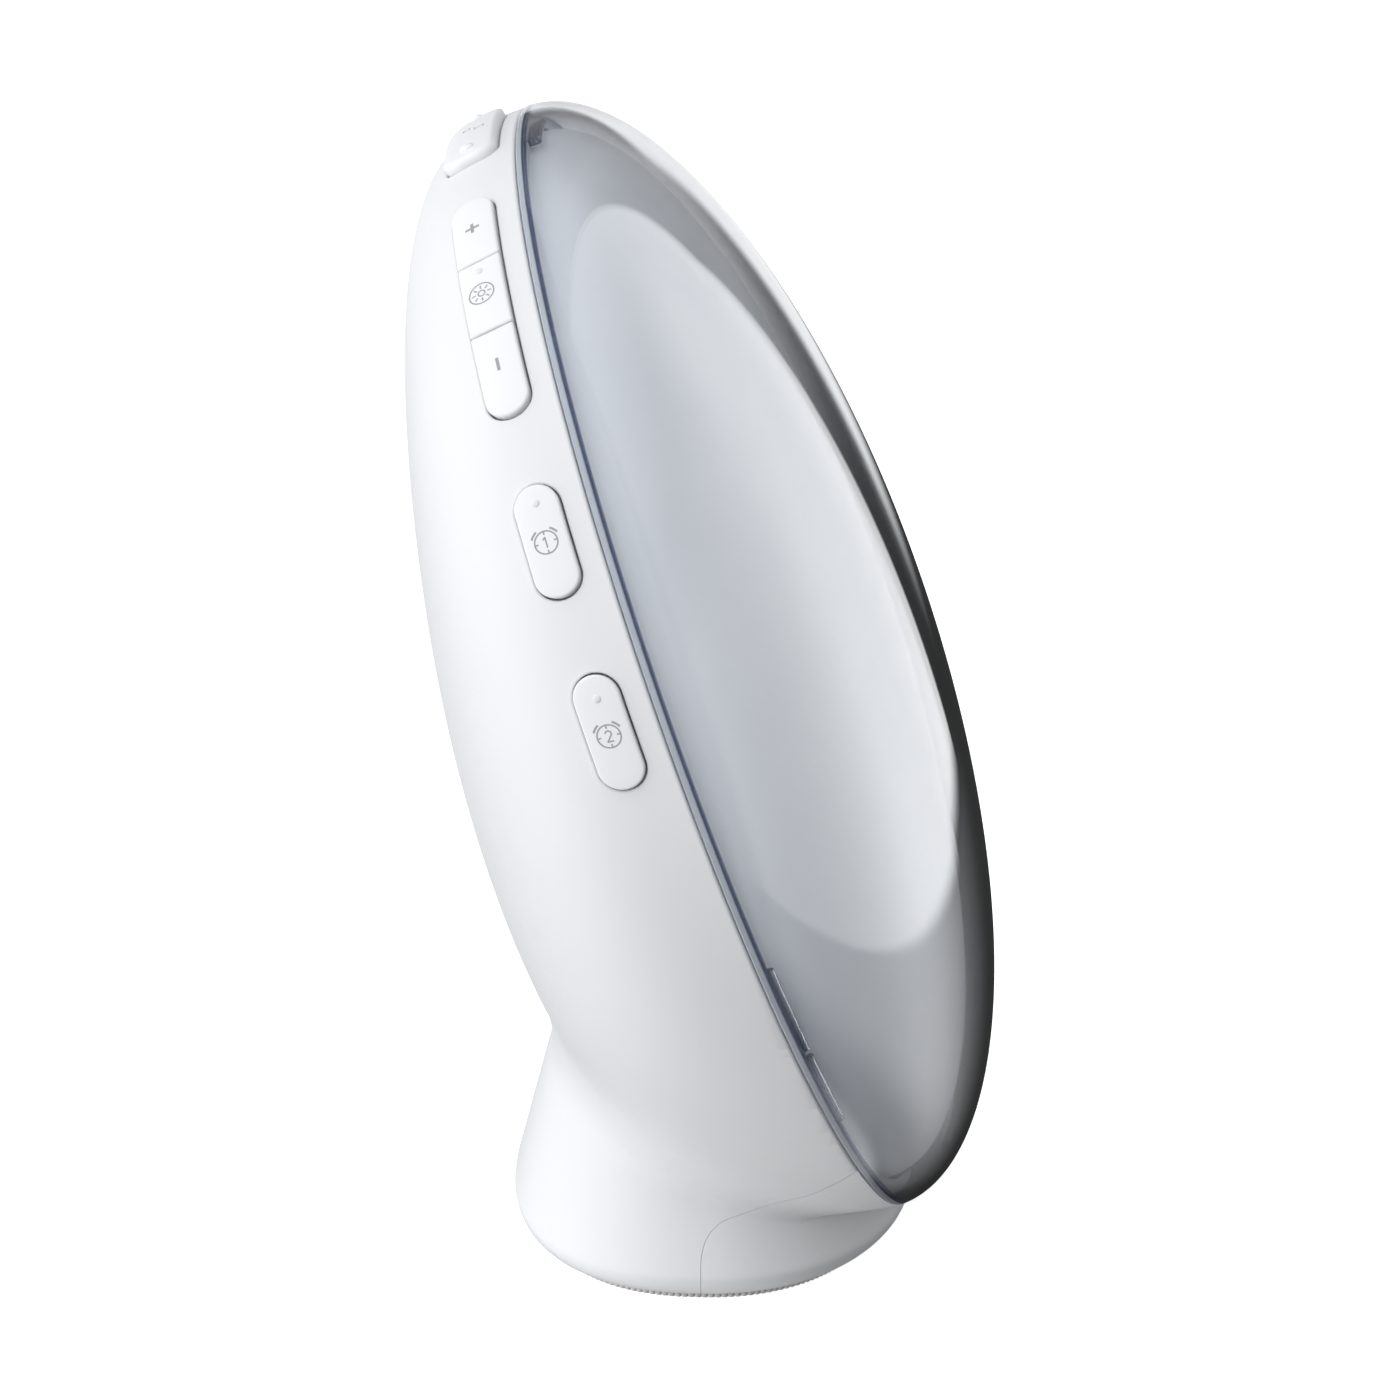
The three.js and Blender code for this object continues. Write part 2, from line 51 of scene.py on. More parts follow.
TILT = math.radians(20)
GAP = 0.3
FRONT = 18.0
WALL = 2.2
BOWL_DEPTH, BOWL_EDGE, BOWL_FACE, BOWL_DROP, BOWL_SHIFT = 47.8, 3.26, 1.3, 22.6, 4.95
BELLY_EDGE, BELLY_FACE = 1.4, 2.8
SPEAKER_M = -23.0
JACK_X, JACK_Z, JACK_HOLE = 15.0, 17.5, 4.6

LENS_R, LENS_H, LENS_INNER_R, LENS_INNER_H = 95.2, 34.6, 93.3, 32.7
LENS_STEP, LIP_R, LIP_IN, LIP, SEAT = 1.1, 92.4, 91.0, 1.8, 3.0
DIFF_R, DIFF_H, DIFF_WALL, DIFF_BASE = 90.4, 29.5, 1.5, -1.6
DISH_R, DISH_TOP, DISH_FLOOR_R, DISH_FLOOR, DISH_WALL = 89.8, -1.9, 62.0, -14.0, 1.4

PED_X, PED_Y, PED_YC, PED_BOTTOM, PED_ROUND = 47.0, 33.6, 1.0, 1.6, 4.2
PED_LEAN_X, PED_LEAN_Y = 0.27, 0.26
OVAL_BACK, OVAL_FRONT = 2.4, 2.1
MOUTH_X, MOUTH_Y, MOUTH_TOP = 41.3, 27.9, 5.0
SKIRT_BACK, SKIRT_SIDE, SKIRT_CORNER = 2.0, 7.5, 14.4
SKIRT_ARC, SKIRT_DIP, SKIRT_RAMP, SKIRT_SLOPE = (-4.0, 15.6), (-8.2, 16.9), (-12.0, 21.6), 1.08
SEAM_GAP = 0.06
FOOT_X, FOOT_Y, FOOT_IN_X, FOOT_IN_Y, FOOT_TOP = 42.0, 29.2, 36.0, 23.2, 1.3
FOOT_RIBS, FOOT_RIB = 240, 0.4

KEY_DEPTH, KEY_WIDTH, KEY_RAISE, KEY_FLANGE = 7.4, 7.0, 0.8, 0.8
KEY_FOOT = -(WALL + GAP + 0.9)
BAR_THETA, BAR_LENGTH, BAR_SEAM = 121.8, 47.6, 7.6
ALARM_LENGTH, ALARM_THETAS = 18.0, (149.0, 167.3)
SNOOZE_LENGTH, SNOOZE_WIDTH, SNOOZE_CORNER, SNOOZE_RAISE = 29.0, 9.0, 3.4, 1.5

X_AXIS = np.array([1.0, 0.0, 0.0])
N_AXIS = np.array([0.0, -math.cos(TILT), math.sin(TILT)])
M_AXIS = np.array([0.0, math.sin(TILT), math.cos(TILT)])
CENTRE = np.array([0.0, 0.0, RIM_Z])

foot_low, foot_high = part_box("foot_ring")
SHIFT = np.array([0.0, (foot_low.y + foot_high.y) / 2 / MM - PED_YC, 0.0])


# ---- mesh helpers -----------------------------------------------------------------------

def make_object(name, points, faces, sharp=30.0):
    """A mesh object from points in the part's millimetres, with normals out and smooth shading."""
    mesh = bpy.data.meshes.new(name)
    placed = (np.asarray(points, float) + SHIFT) * MM
    mesh.from_pydata(placed.tolist(), [], [list(map(int, f)) for f in faces])
    bm = bmesh.new()
    bm.from_mesh(mesh)
    bmesh.ops.remove_doubles(bm, verts=bm.verts, dist=2e-6)
    bmesh.ops.dissolve_degenerate(bm, edges=bm.edges, dist=1e-6)
    bmesh.ops.recalc_face_normals(bm, faces=bm.faces)
    bm.to_mesh(mesh)
    bm.free()
    obj = bpy.data.objects.new(name, mesh)
    bpy.context.scene.collection.objects.link(obj)
    soften(obj, sharp)
    return obj


def soften(obj, sharp):
    mesh = obj.data
    mesh.shade_smooth()
    mesh.set_sharp_from_angle(angle=math.radians(sharp))


def ring_faces(rings, count):
    """Quads between successive rings of equal count."""
    faces = []
    for k in range(rings - 1):
        for i in range(count):
            j = (i + 1) % count
            a, b = k * count, (k + 1) * count
            faces.append((a + i, a + j, b + j, b + i))
    return faces


def loft(name, rings, sharp=30.0):
    """Joins equal rings into a closed body; the first and last ring are closed with a cap."""
    count = len(rings[0])
    points = np.concatenate(rings)
    faces = ring_faces(len(rings), count)
    faces.append(tuple(range(count))[::-1])
    last = (len(rings) - 1) * count
    faces.append(tuple(range(last, last + count)))
    return make_object(name, points, faces, sharp)


def torus_loft(name, rings, sharp=30.0):
    """Joins equal rings round to the first one again."""
    count = len(rings[0])
    faces = ring_faces(len(rings) + 1, count)
    total = len(rings) * count
    faces = [tuple(v % total for v in f) for f in faces]
    return make_object(name, np.concatenate(rings), faces, sharp)


def head_point(x, m, n):
    x, m, n = np.broadcast_arrays(x, m, n)
    return CENTRE + x[..., None] * X_AXIS + m[..., None] * M_AXIS + n[..., None] * N_AXIS


def lathe(name, profile, segments=256, sharp=30.0):
    """Body of revolution about the lamp axis from (radius, height) pairs that close on themselves."""
    turn = np.linspace(0, 2 * math.pi, segments, endpoint=False)
    rings = [head_point(r * np.cos(turn), r * np.sin(turn), n) for r, n in profile]
    return torus_loft(name, rings, sharp)


def block(name, size, middle):
    """A box in the head's own directions, used as a cutter."""
    w, d, h = (s / 2 for s in size)
    x, m, n = middle
    ring = [(-w, -d), (w, -d), (w, d), (-w, d)]
    rings = [np.array([head_point(x + i, m + j, n + k) for i, j in ring]) for k in (-h, h)]
    return loft(name, rings)


def boolean(obj, cutter, operation="DIFFERENCE", sharp=30.0):
    """Cuts, joins or intersects, applies the result and removes the cutter."""
    modifier = obj.modifiers.new("cut", "BOOLEAN")
    modifier.operation = operation
    modifier.solver = "MANIFOLD"
    modifier.object = cutter
    depsgraph = bpy.context.evaluated_depsgraph_get()
    result = bpy.data.meshes.new_from_object(obj.evaluated_get(depsgraph))
    obj.modifiers.clear()
    old = obj.data
    result.name = obj.name
    obj.data = result
    bpy.data.meshes.remove(old)
    discard(cutter)
    soften(obj, sharp)
    return obj


def discard(obj):
    mesh = obj.data
    bpy.data.objects.remove(obj)
    bpy.data.meshes.remove(mesh)


def mirrored_copy(obj, name):
    """The same body on the other side of the YZ plane."""
    mesh = obj.data.copy()
    mesh.name = name
    mesh.transform(Matrix.Diagonal((-1, 1, 1, 1)))
    mesh.flip_normals()
    twin = bpy.data.objects.new(name, mesh)
    bpy.context.scene.collection.objects.link(twin)
    soften(twin, 30.0)
    return twin


# ---- outer form -------------------------------------------------------------------------

def bowl_section(a, inset=0.0):
    """Half width, half height and middle of the bowl's oval section at depth a."""
    rim = RIM_R - inset
    u = np.clip(a / (BOWL_DEPTH - inset), 0, 1)
    s = (1 - u ** BOWL_EDGE) ** (1 / BOWL_FACE)
    top = rim * s - BOWL_DROP * (1 - s ** BOWL_SHIFT)
    bottom = -BOWL_DROP - (rim - BOWL_DROP) * (1 - u ** BELLY_EDGE) ** (1 / BELLY_FACE)
    return rim * s, (top - bottom) / 2, (top + bottom) / 2


def in_bowl(x, y, z, inset):
    a = y * math.cos(TILT) - (z - RIM_Z) * math.sin(TILT)
    m = y * math.sin(TILT) + (z - RIM_Z) * math.cos(TILT)
    half, rise, middle = bowl_section(a, inset)
    with np.errstate(divide="ignore", invalid="ignore"):
        within = (x / half) ** 2 + ((m - middle) / rise) ** 2 < 1
    return within & (a >= -FRONT) & (a < BOWL_DEPTH - inset)


def halve(inside, low, high):
    """The edge of a region between points low, inside it, and high, outside it."""
    for _ in range(34):
        middle = (low + high) / 2
        here = inside(middle)
        low = np.where(here, middle, low)
        high = np.where(here, high, middle)
    return low


def oval(x, y, angle):
    """Reach of the foot's oval at an angle, squarer at the back than at the front."""
    c, s = np.abs(np.cos(angle)), np.abs(np.sin(angle))
    power = np.where(np.sin(angle) > 0, OVAL_BACK, OVAL_FRONT)
    return ((c / x) ** power + (s / y) ** power) ** (-1 / power)


def pedestal_half(z, inset):
    """Half width and half depth of the pedestal, or of its hollow, at one level."""
    if inset and z < MOUTH_TOP:
        return MOUTH_X, MOUTH_Y
    up = max(z - PED_BOTTOM - PED_ROUND, 0)
    low = max(PED_ROUND - (z - PED_BOTTOM), 0)
    rounding = 0 if inset else PED_ROUND - math.sqrt(max(PED_ROUND ** 2 - low ** 2, 0))
    cut = rounding + inset
    return PED_X - PED_LEAN_X * up - cut, PED_Y - PED_LEAN_Y * up - cut


def smooth_max(a, b, k):
    h = np.maximum(k - np.abs(a - b), 0) / k
    return np.maximum(a, b) + h * h * k / 4


def smoothstep(value, low, high):
    t = min(max((value - low) / (high - low), 0), 1)
    return t * t * (3 - 2 * t)


def spine(z, inset):
    """Where the polar rays of a level slice start."""
    front = (z - RIM_Z) * math.tan(TILT) - (FRONT - 0.01) / math.cos(TILT)
    steps = front + 1 + np.arange(0, 2 * RIM_R)
    inside = in_bowl(0, steps, z, inset)
    first = steps[int(np.argmin(inside))] if not inside.all() else steps[-1]
    back = float(halve(lambda y: in_bowl(0, y, z, inset), np.array(first - 1.0), np.array(first)))
    back = max(back, front + 1)
    t = smoothstep(z, 14, 70)
    return PED_YC * (1 - t) + (front + back) / 2 * t


def slice_ring(z, inset, angles):
    """The outer form's outline at one level: bowl and pedestal, blended where they meet."""
    y0 = spine(z, inset)
    half_x, half_y = pedestal_half(z, inset)
    c, s = np.cos(angles), np.sin(angles)
    reach = np.zeros_like(angles)
    if in_bowl(0, y0, z, inset):
        reach = halve(lambda r: in_bowl(r * c, y0 + r * s, z, inset), reach, reach + 2 * RIM_R)
    foot = oval(half_x, half_y, angles) - (y0 - PED_YC) * s if z < 60 else 0
    r = smooth_max(reach, foot, 5 + 9 * np.abs(c))
    return np.stack([r * c, y0 + r * s, np.full_like(r, z)], 1)


def form(name, levels, inset, count, upper):
    """The closed outer form or, with an inset, the hollow inside it."""
    top = RIM_Z + (RIM_R - inset) * math.cos(TILT) + FRONT * math.sin(TILT)
    turns = np.radians(np.linspace(-36, 90, upper, endpoint=False))
    heights = list(levels) + list(RIM_Z + (top - RIM_Z) * np.sin(turns))
    angles = np.linspace(0, 2 * math.pi, count, endpoint=False)
    return loft(name, [slice_ring(z, inset, angles) for z in heights])


# ---- outlines that follow the bowl ------------------------------------------------------

def surface(theta, a):
    half, rise, middle = bowl_section(a)
    return head_point(half * np.cos(theta), rise * np.sin(theta) + middle, -a)


def place(theta, depth, s, v, offset):
    """Points at arc length s and depth offset v from a spot on the bowl, moved out by offset."""
    angle = math.radians(theta) - np.asarray(s, float) / RIM_R
    a = depth + np.asarray(v, float)
    step = 1e-3
    along = surface(angle + step, a) - surface(angle - step, a)
    back = surface(angle, a + step) - surface(angle, a - step)
    out = np.cross(along, back)
    out /= np.linalg.norm(out, axis=-1, keepdims=True)
    point = surface(angle, a)
    away = np.sum(out * (point - CENTRE), axis=-1, keepdims=True)
    out = np.where(away < 0, -out, out)
    return point + out * np.asarray(offset, float)[..., None]


CORNER_STEPS = 10
STRAIGHT_STEP = 0.8


def outline(spec, inset):
    """A rounded bar outline in (s, v), moved inwards by inset; every inset gives as many points.
    An end that is cut off next to another key never grows towards it."""
    low = spec["low"] + (max(inset, 0) if spec["cut_low"] else inset)
    high = spec["high"] - (max(inset, 0) if spec["cut_high"] else inset)
    half = max(spec["half"] - inset, 0)
    steps = max(int((spec["high"] - spec["low"]) / STRAIGHT_STEP), 4)
    quarter = np.linspace(0, math.pi / 2, CORNER_STEPS + 1)
    r_low = min(max(spec["r_low"] - inset, 0), half)
    r_high = min(max(spec["r_high"] - inset, 0), half)
    corner_high = np.stack([high - r_high + r_high * np.sin(quarter),
                            half - r_high + r_high * np.cos(quarter)], 1)
    corner_low = np.stack([low + r_low - r_low * np.sin(quarter),
                           half - r_low + r_low * np.cos(quarter)], 1)
    run = np.linspace(low + r_low, high - r_high, steps + 1)[1:-1]
    top = np.concatenate([corner_low[::-1], np.stack([run, np.full_like(run, half)], 1), corner_high])
    bottom = top[::-1] * [1, -1]
    return np.concatenate([top, bottom])


def slab(name, spec, levels, sharp=40.0):
    """A body whose rings are (inset, offset) pairs of one outline; both ends close on its spine."""
    rings = []
    for inset, offset in levels:
        flat = outline(spec, inset)
        rings.append(place(spec["theta"], spec["depth"], flat[:, 0], flat[:, 1],
                           np.full(len(flat), offset)))
    count = len(rings[0])
    half = count // 2
    faces = ring_faces(len(rings), count)
    for k, turn in ((0, -1), (len(rings) - 1, 1)):
        base = k * count
        cap = [(base + i, base + i + 1, base + count - 2 - i, base + count - 1 - i) for i in range(half - 1)]
        faces += [f[::turn] for f in cap]
    return make_object(name, np.concatenate(rings), faces, sharp)


def key_spec(theta, length, width, corner, low=None, high=None):
    cut = 0.35
    return {"theta": theta, "depth": KEY_DEPTH, "half": width / 2,
            "low": -length / 2 if low is None else low, "high": length / 2 if high is None else high,
            "r_low": corner if low is None else cut, "r_high": corner if high is None else cut,
            "cut_low": low is not None, "cut_high": high is not None}


def fillet(radius, top, steps, full=90.0):
    """(inset, offset) pairs of a rounded edge that ends at the top surface."""
    turns = np.radians(np.linspace(0, full, steps + 1))
    return [(radius * (1 - math.cos(t)), top - radius * (1 - math.sin(t))) for t in turns]


def cap_levels(spec, raise_, radius):
    """Levels of a key cap: flange, straight wall, rounded edge, crowned top."""
    spread = spec["half"]
    seat = -(WALL + GAP)
    inner = [spread * 0.55, spread * 0.3, 0.0]
    levels = [(spread - 1e-3, KEY_FOOT)] + [(i, KEY_FOOT) for i in inner]
    levels += [(-KEY_FLANGE, KEY_FOOT), (-KEY_FLANGE, seat), (0, seat), (0, -1.0)]
    levels += fillet(radius, raise_, 6)
    for part in (0.45, 0.7, 1.0):
        levels.append((radius + (spread - 1e-3 - radius) * part, raise_))
    return levels


def pocket_cutter(name, spec):
    """The opening for a key, with a softened edge, and the wider seat for its flange."""
    soft = 0.35
    levels = [(-GAP, -7.0), (-GAP, -soft)]
    for inset, offset in fillet(soft, 0.0, 4, full=65):
        levels.append((-GAP - inset, offset))
    levels.append((-GAP - 2.2, 2.0))
    through = slab(name, spec, levels)
    seat = slab(name + "_seat", spec, [(-KEY_FLANGE - GAP, -7.0), (-KEY_FLANGE - GAP, -WALL)])
    return boolean(through, seat, "UNION")


BAR = key_spec(BAR_THETA, BAR_LENGTH, KEY_WIDTH, KEY_WIDTH / 2)
SEAM = BAR_SEAM - GAP / 2
SIDE_KEYS = {
    "light_plus": key_spec(BAR_THETA, BAR_LENGTH, KEY_WIDTH, KEY_WIDTH / 2, low=SEAM + GAP),
    "light_switch": key_spec(BAR_THETA, BAR_LENGTH, KEY_WIDTH, KEY_WIDTH / 2, low=-SEAM, high=SEAM),
    "light_minus": key_spec(BAR_THETA, BAR_LENGTH, KEY_WIDTH, KEY_WIDTH / 2, high=-SEAM - GAP),
    "alarm_1": key_spec(ALARM_THETAS[0], ALARM_LENGTH, KEY_WIDTH, KEY_WIDTH / 2),
    "alarm_2": key_spec(ALARM_THETAS[1], ALARM_LENGTH, KEY_WIDTH, KEY_WIDTH / 2),
}
FAR_KEYS = dict(zip(SIDE_KEYS, ["sound_plus", "sound_switch", "sound_minus", "clock_set", "sound_source"]))
SNOOZE = key_spec(90, SNOOZE_LENGTH, SNOOZE_WIDTH, SNOOZE_CORNER)


# ---- materials --------------------------------------------------------------------------

def new_material(name):
    material = bpy.data.materials.new(name)
    material.use_nodes = True
    tree = material.node_tree
    return material, tree.nodes, tree.links, tree.nodes["Principled BSDF"]


def node(nodes, kind, **values):
    made = nodes.new(kind)
    for key, value in values.items():
        if key in made.inputs:
            made.inputs[key].default_value = value
        else:
            setattr(made, key, value)
    return made


def noise(nodes, links, coords, scale, detail=3.0, roughness=0.55):
    made = node(nodes, "ShaderNodeTexNoise", Scale=scale, Detail=detail, Roughness=roughness)
    links.new(coords.outputs["Object"], made.inputs["Vector"])
    return made


def ramp(nodes, links, source, stops):
    """A colour ramp over a texture's factor; stops are (position, colour)."""
    made = nodes.new("ShaderNodeValToRGB")
    band = made.color_ramp
    band.elements[0].position, band.elements[0].color = stops[0][0], (*stops[0][1], 1)
    band.elements[1].position, band.elements[1].color = stops[-1][0], (*stops[-1][1], 1)
    for position, colour in stops[1:-1]:
        band.elements.new(position).color = (*colour, 1)
    links.new(source, made.inputs["Fac"])
    return made


def grey_range(nodes, links, source, low, high):
    made = node(nodes, "ShaderNodeMapRange")
    made.inputs["From Min"].default_value, made.inputs["From Max"].default_value = 0.3, 0.7
    made.inputs["To Min"].default_value, made.inputs["To Max"].default_value = low, high
    links.new(source, made.inputs["Value"])
    return made


def maths(nodes, links, operation, *values):
    """The output of a maths node whose inputs are sockets or plain numbers."""
    made = node(nodes, "ShaderNodeMath", operation=operation)
    for socket, value in zip(made.inputs, values):
        if isinstance(value, (int, float)):
            socket.default_value = value
        else:
            links.new(value, socket)
    return made.outputs["Value"]


def shade(colour, factor):
    return tuple(min(c * factor, 1.0) for c in colour)


def moulded(name, colour, rough, grain=0.35, grain_scale=2600, bump=0.02, spread=0.03):
    """Injection-moulded plastic: fine erosion texture, faint colour drift, uneven gloss."""
    material, nodes, links, shader = new_material(name)
    coords = node(nodes, "ShaderNodeTexCoord")
    broad = noise(nodes, links, coords, 22, 2)
    low, high = shade(colour, 1 - spread), shade(colour, 1 + spread / 3)
    tint = ramp(nodes, links, broad.outputs["Fac"], [(0.35, low), (0.65, high)])
    links.new(tint.outputs["Color"], shader.inputs["Base Color"])
    fine = noise(nodes, links, coords, grain_scale, 4, 0.65)
    gloss = grey_range(nodes, links, fine.outputs["Fac"], rough - grain * 0.2, rough + grain * 0.2)
    links.new(gloss.outputs["Result"], shader.inputs["Roughness"])
    relief = node(nodes, "ShaderNodeBump", Strength=grain, Distance=bump * MM)
    links.new(fine.outputs["Fac"], relief.inputs["Height"])
    links.new(relief.outputs["Normal"], shader.inputs["Normal"])
    shader.inputs["IOR"].default_value = 1.49
    return material


def head_height(nodes, links, coords):
    """Height above the rim plane, 0 to 6 mm as 0 to 1."""
    along = node(nodes, "ShaderNodeVectorMath", operation="DOT_PRODUCT")
    links.new(coords.outputs["Object"], along.inputs[0])
    along.inputs[1].default_value = tuple(N_AXIS)
    rim = float((CENTRE + SHIFT) @ N_AXIS) * MM
    height = node(nodes, "ShaderNodeMapRange")
    height.inputs["From Min"].default_value, height.inputs["From Max"].default_value = rim, rim + 6 * MM
    links.new(along.outputs["Value"], height.inputs["Value"])
    return height


def clear_plastic():
    """Clear tinted lens with gloss moulding; near its edge a painted pale band stands for light refracted
    through the rim, with a painted dark blue line inside that for the rim's refraction edge.
    """
    material, nodes, links, shader = new_material("lens clear smoke")
    coords = node(nodes, "ShaderNodeTexCoord")
    film = noise(nodes, links, coords, 60, 3)
    gloss = grey_range(nodes, links, film.outputs["Fac"], 0.012, 0.03)
    links.new(gloss.outputs["Result"], shader.inputs["Roughness"])
    tint = ramp(nodes, links, film.outputs["Fac"], [(0.3, (0.955, 0.965, 0.98)), (0.7, (0.975, 0.98, 0.99))])
    height = head_height(nodes, links, coords)
    # Painted shade: a dark blue line about 1.2 to 1.7 mm above the rim plane, standing for the dark
    # refraction edge at the lens rim
    clear, navy = (1, 1, 1), (0.03, 0.05, 0.16)
    edge = ramp(nodes, links, height.outputs["Result"],
                [(0.0, clear), (0.20, clear), (0.225, navy), (0.265, navy), (0.29, clear), (1.0, clear)])
    tint_with_painted_line = node(nodes, "ShaderNodeMix", data_type="RGBA", blend_type="MULTIPLY", Factor=1.0)
    links.new(tint.outputs["Color"], tint_with_painted_line.inputs["A"])
    links.new(edge.outputs["Color"], tint_with_painted_line.inputs["B"])
    links.new(tint_with_painted_line.outputs["Result"], shader.inputs["Base Color"])
    # Painted light: below about 1.2 mm above the rim plane a pale diffuse layer is mixed in, standing for
    # light refracted through the clear lens rim
    painted_band_strength, bare = (0.35, 0.35, 0.35), (0, 0, 0)
    painted_band_mask = ramp(nodes, links, height.outputs["Result"],
                 [(0.0, painted_band_strength), (0.19, painted_band_strength), (0.21, bare), (1.0, bare)])
    # the pale diffuse layer of that painted band
    milk = node(nodes, "ShaderNodeBsdfDiffuse", Color=(0.80, 0.86, 0.93, 1))
    lens_with_painted_band = node(nodes, "ShaderNodeMixShader")
    links.new(painted_band_mask.outputs["Color"], lens_with_painted_band.inputs["Fac"])
    links.new(shader.outputs["BSDF"], lens_with_painted_band.inputs[1])
    links.new(milk.outputs["BSDF"], lens_with_painted_band.inputs[2])
    shader.inputs["IOR"].default_value = 1.49
    shader.inputs["Transmission Weight"].default_value = 1.0
    through = node(nodes, "ShaderNodeBsdfTransparent", Color=(0.985, 0.99, 1.0, 1))
    path = node(nodes, "ShaderNodeLightPath")
    mix = node(nodes, "ShaderNodeMixShader")
    links.new(path.outputs["Is Shadow Ray"], mix.inputs["Fac"])
    links.new(lens_with_painted_band.outputs["Shader"], mix.inputs[1])
    links.new(through.outputs["BSDF"], mix.inputs[2])
    output = nodes["Material Output"]
    links.new(mix.outputs["Shader"], output.inputs["Surface"])
    absorb = node(nodes, "ShaderNodeVolumeAbsorption", Color=(0.35, 0.42, 0.55, 1), Density=45.0)
    links.new(absorb.outputs["Volume"], output.inputs["Volume"])
    return material


def diffuser_plastic():
    """Milky inner dome: pale blue grey with a soft mottling, slightly glossy."""
    material, nodes, links, shader = new_material("diffuser milk")
    coords = node(nodes, "ShaderNodeTexCoord")
    broad = noise(nodes, links, coords, 14, 2)
    tint = ramp(nodes, links, broad.outputs["Fac"],
                [(0.3, (0.905, 0.932, 0.962)), (0.7, (0.922, 0.95, 0.98))])
    links.new(tint.outputs["Color"], shader.inputs["Base Color"])
    fine = noise(nodes, links, coords, 2400, 3)
    gloss = grey_range(nodes, links, fine.outputs["Fac"], 0.5, 0.62)
    links.new(gloss.outputs["Result"], shader.inputs["Roughness"])
    relief = node(nodes, "ShaderNodeBump", Strength=0.1, Distance=0.01 * MM)
    links.new(fine.outputs["Fac"], relief.inputs["Height"])
    links.new(relief.outputs["Normal"], shader.inputs["Normal"])
    return material


def circuit_board():
    """Green solder mask with lighter traces."""
    material, nodes, links, shader = new_material("board green")
    coords = node(nodes, "ShaderNodeTexCoord")
    cells = node(nodes, "ShaderNodeTexBrick", Scale=90.0)
    links.new(coords.outputs["Object"], cells.inputs["Vector"])
    cells.inputs["Color1"].default_value = (0.02, 0.12, 0.05, 1)
    cells.inputs["Color2"].default_value = (0.025, 0.15, 0.065, 1)
    cells.inputs["Mortar"].default_value = (0.06, 0.24, 0.10, 1)
    links.new(cells.outputs["Color"], shader.inputs["Base Color"])
    fine = noise(nodes, links, coords, 400, 3)
    gloss = grey_range(nodes, links, fine.outputs["Fac"], 0.28, 0.42)
    links.new(gloss.outputs["Result"], shader.inputs["Roughness"])
    relief = node(nodes, "ShaderNodeBump", Strength=0.25, Distance=0.04 * MM)
    links.new(cells.outputs["Fac"], relief.inputs["Height"])
    links.new(relief.outputs["Normal"], shader.inputs["Normal"])
    return material


def brushed_metal(name, colour, rough):
    """Turned or cut steel with fine streaks."""
    material, nodes, links, shader = new_material(name)
    coords = node(nodes, "ShaderNodeTexCoord")
    stretch = node(nodes, "ShaderNodeMapping")
    stretch.inputs["Scale"].default_value = (1, 14, 1)
    links.new(coords.outputs["Object"], stretch.inputs["Vector"])
    streaks = node(nodes, "ShaderNodeTexNoise", Scale=160.0, Detail=4.0)
    links.new(stretch.outputs["Vector"], streaks.inputs["Vector"])
    tint = ramp(nodes, links, streaks.outputs["Fac"], [(0.3, shade(colour, 0.85)), (0.7, shade(colour, 1.1))])
    links.new(tint.outputs["Color"], shader.inputs["Base Color"])
    gloss = grey_range(nodes, links, streaks.outputs["Fac"], rough - 0.06, rough + 0.08)
    links.new(gloss.outputs["Result"], shader.inputs["Roughness"])
    shader.inputs["Metallic"].default_value = 1.0
    return material


def make_materials():
    white = (0.72, 0.725, 0.74)
    return {
        "shell": moulded("shell white", white, 0.46, grain=0.5, grain_scale=1500, bump=0.055, spread=0.012),
        "skirt": moulded("skirt white", shade(white, 0.995), 0.47, 0.5, 1500, 0.055, 0.012),
        # key caps: the shell's white made 7% lighter, a painted brightening that makes up for shade on the
        # caps so they read as bright as the shell
        "key": moulded("key white", shade(white, 1.07), 0.42, 0.3, 2600, 0.02, 0.012),
        "print": moulded("print grey", (0.33, 0.33, 0.345), 0.5, 0.2, 3000, 0.01, 0.06),
        "pipe": moulded("light pipe", (0.72, 0.72, 0.72), 0.25, 0.1, 3000, 0.01, 0.03),
        "lens": clear_plastic(),
        "diffuser": diffuser_plastic(),
        "reflector": moulded("reflector white", (0.86, 0.86, 0.86), 0.25, 0.15, 1800, 0.01, 0.02),
        "base": moulded("base white", (0.74, 0.745, 0.755), 0.5, 0.5, 1800, 0.03, 0.03),
        "foot": moulded("foot rubber", (0.56, 0.55, 0.53), 0.75, 0.6, 1500, 0.05, 0.08),
        "black": moulded("black plastic", (0.02, 0.021, 0.023), 0.45, 0.4, 1800, 0.03, 0.15),
        "cone": moulded("speaker black", (0.014, 0.014, 0.015), 0.8, 0.8, 900, 0.06, 0.25),
        "led": moulded("led phosphor", (0.85, 0.72, 0.30), 0.3, 0.2, 1500, 0.01, 0.08),
        "board": circuit_board(),
        "weight": brushed_metal("weight steel", (0.42, 0.42, 0.43), 0.4),
        "screw": brushed_metal("screw steel", (0.60, 0.60, 0.61), 0.3),
    }


def dress(obj, material, body="lamp", replaced=()):
    """Gives a piece its material and body, and hides the CAD nodes it replaces."""
    obj.data.materials.clear()
    obj.data.materials.append(material)
    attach(obj, body)
    if replaced:
        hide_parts(*replaced)
    return obj


# ---- lamp head --------------------------------------------------------------------------

def ellipse(r, h, start, steps):
    first = math.asin(start / h)
    turns = np.linspace(first, math.pi / 2, steps + 1)
    points = [(r * math.cos(t), h * math.sin(t)) for t in turns]
    points[-1] = (0.0, h)
    return points


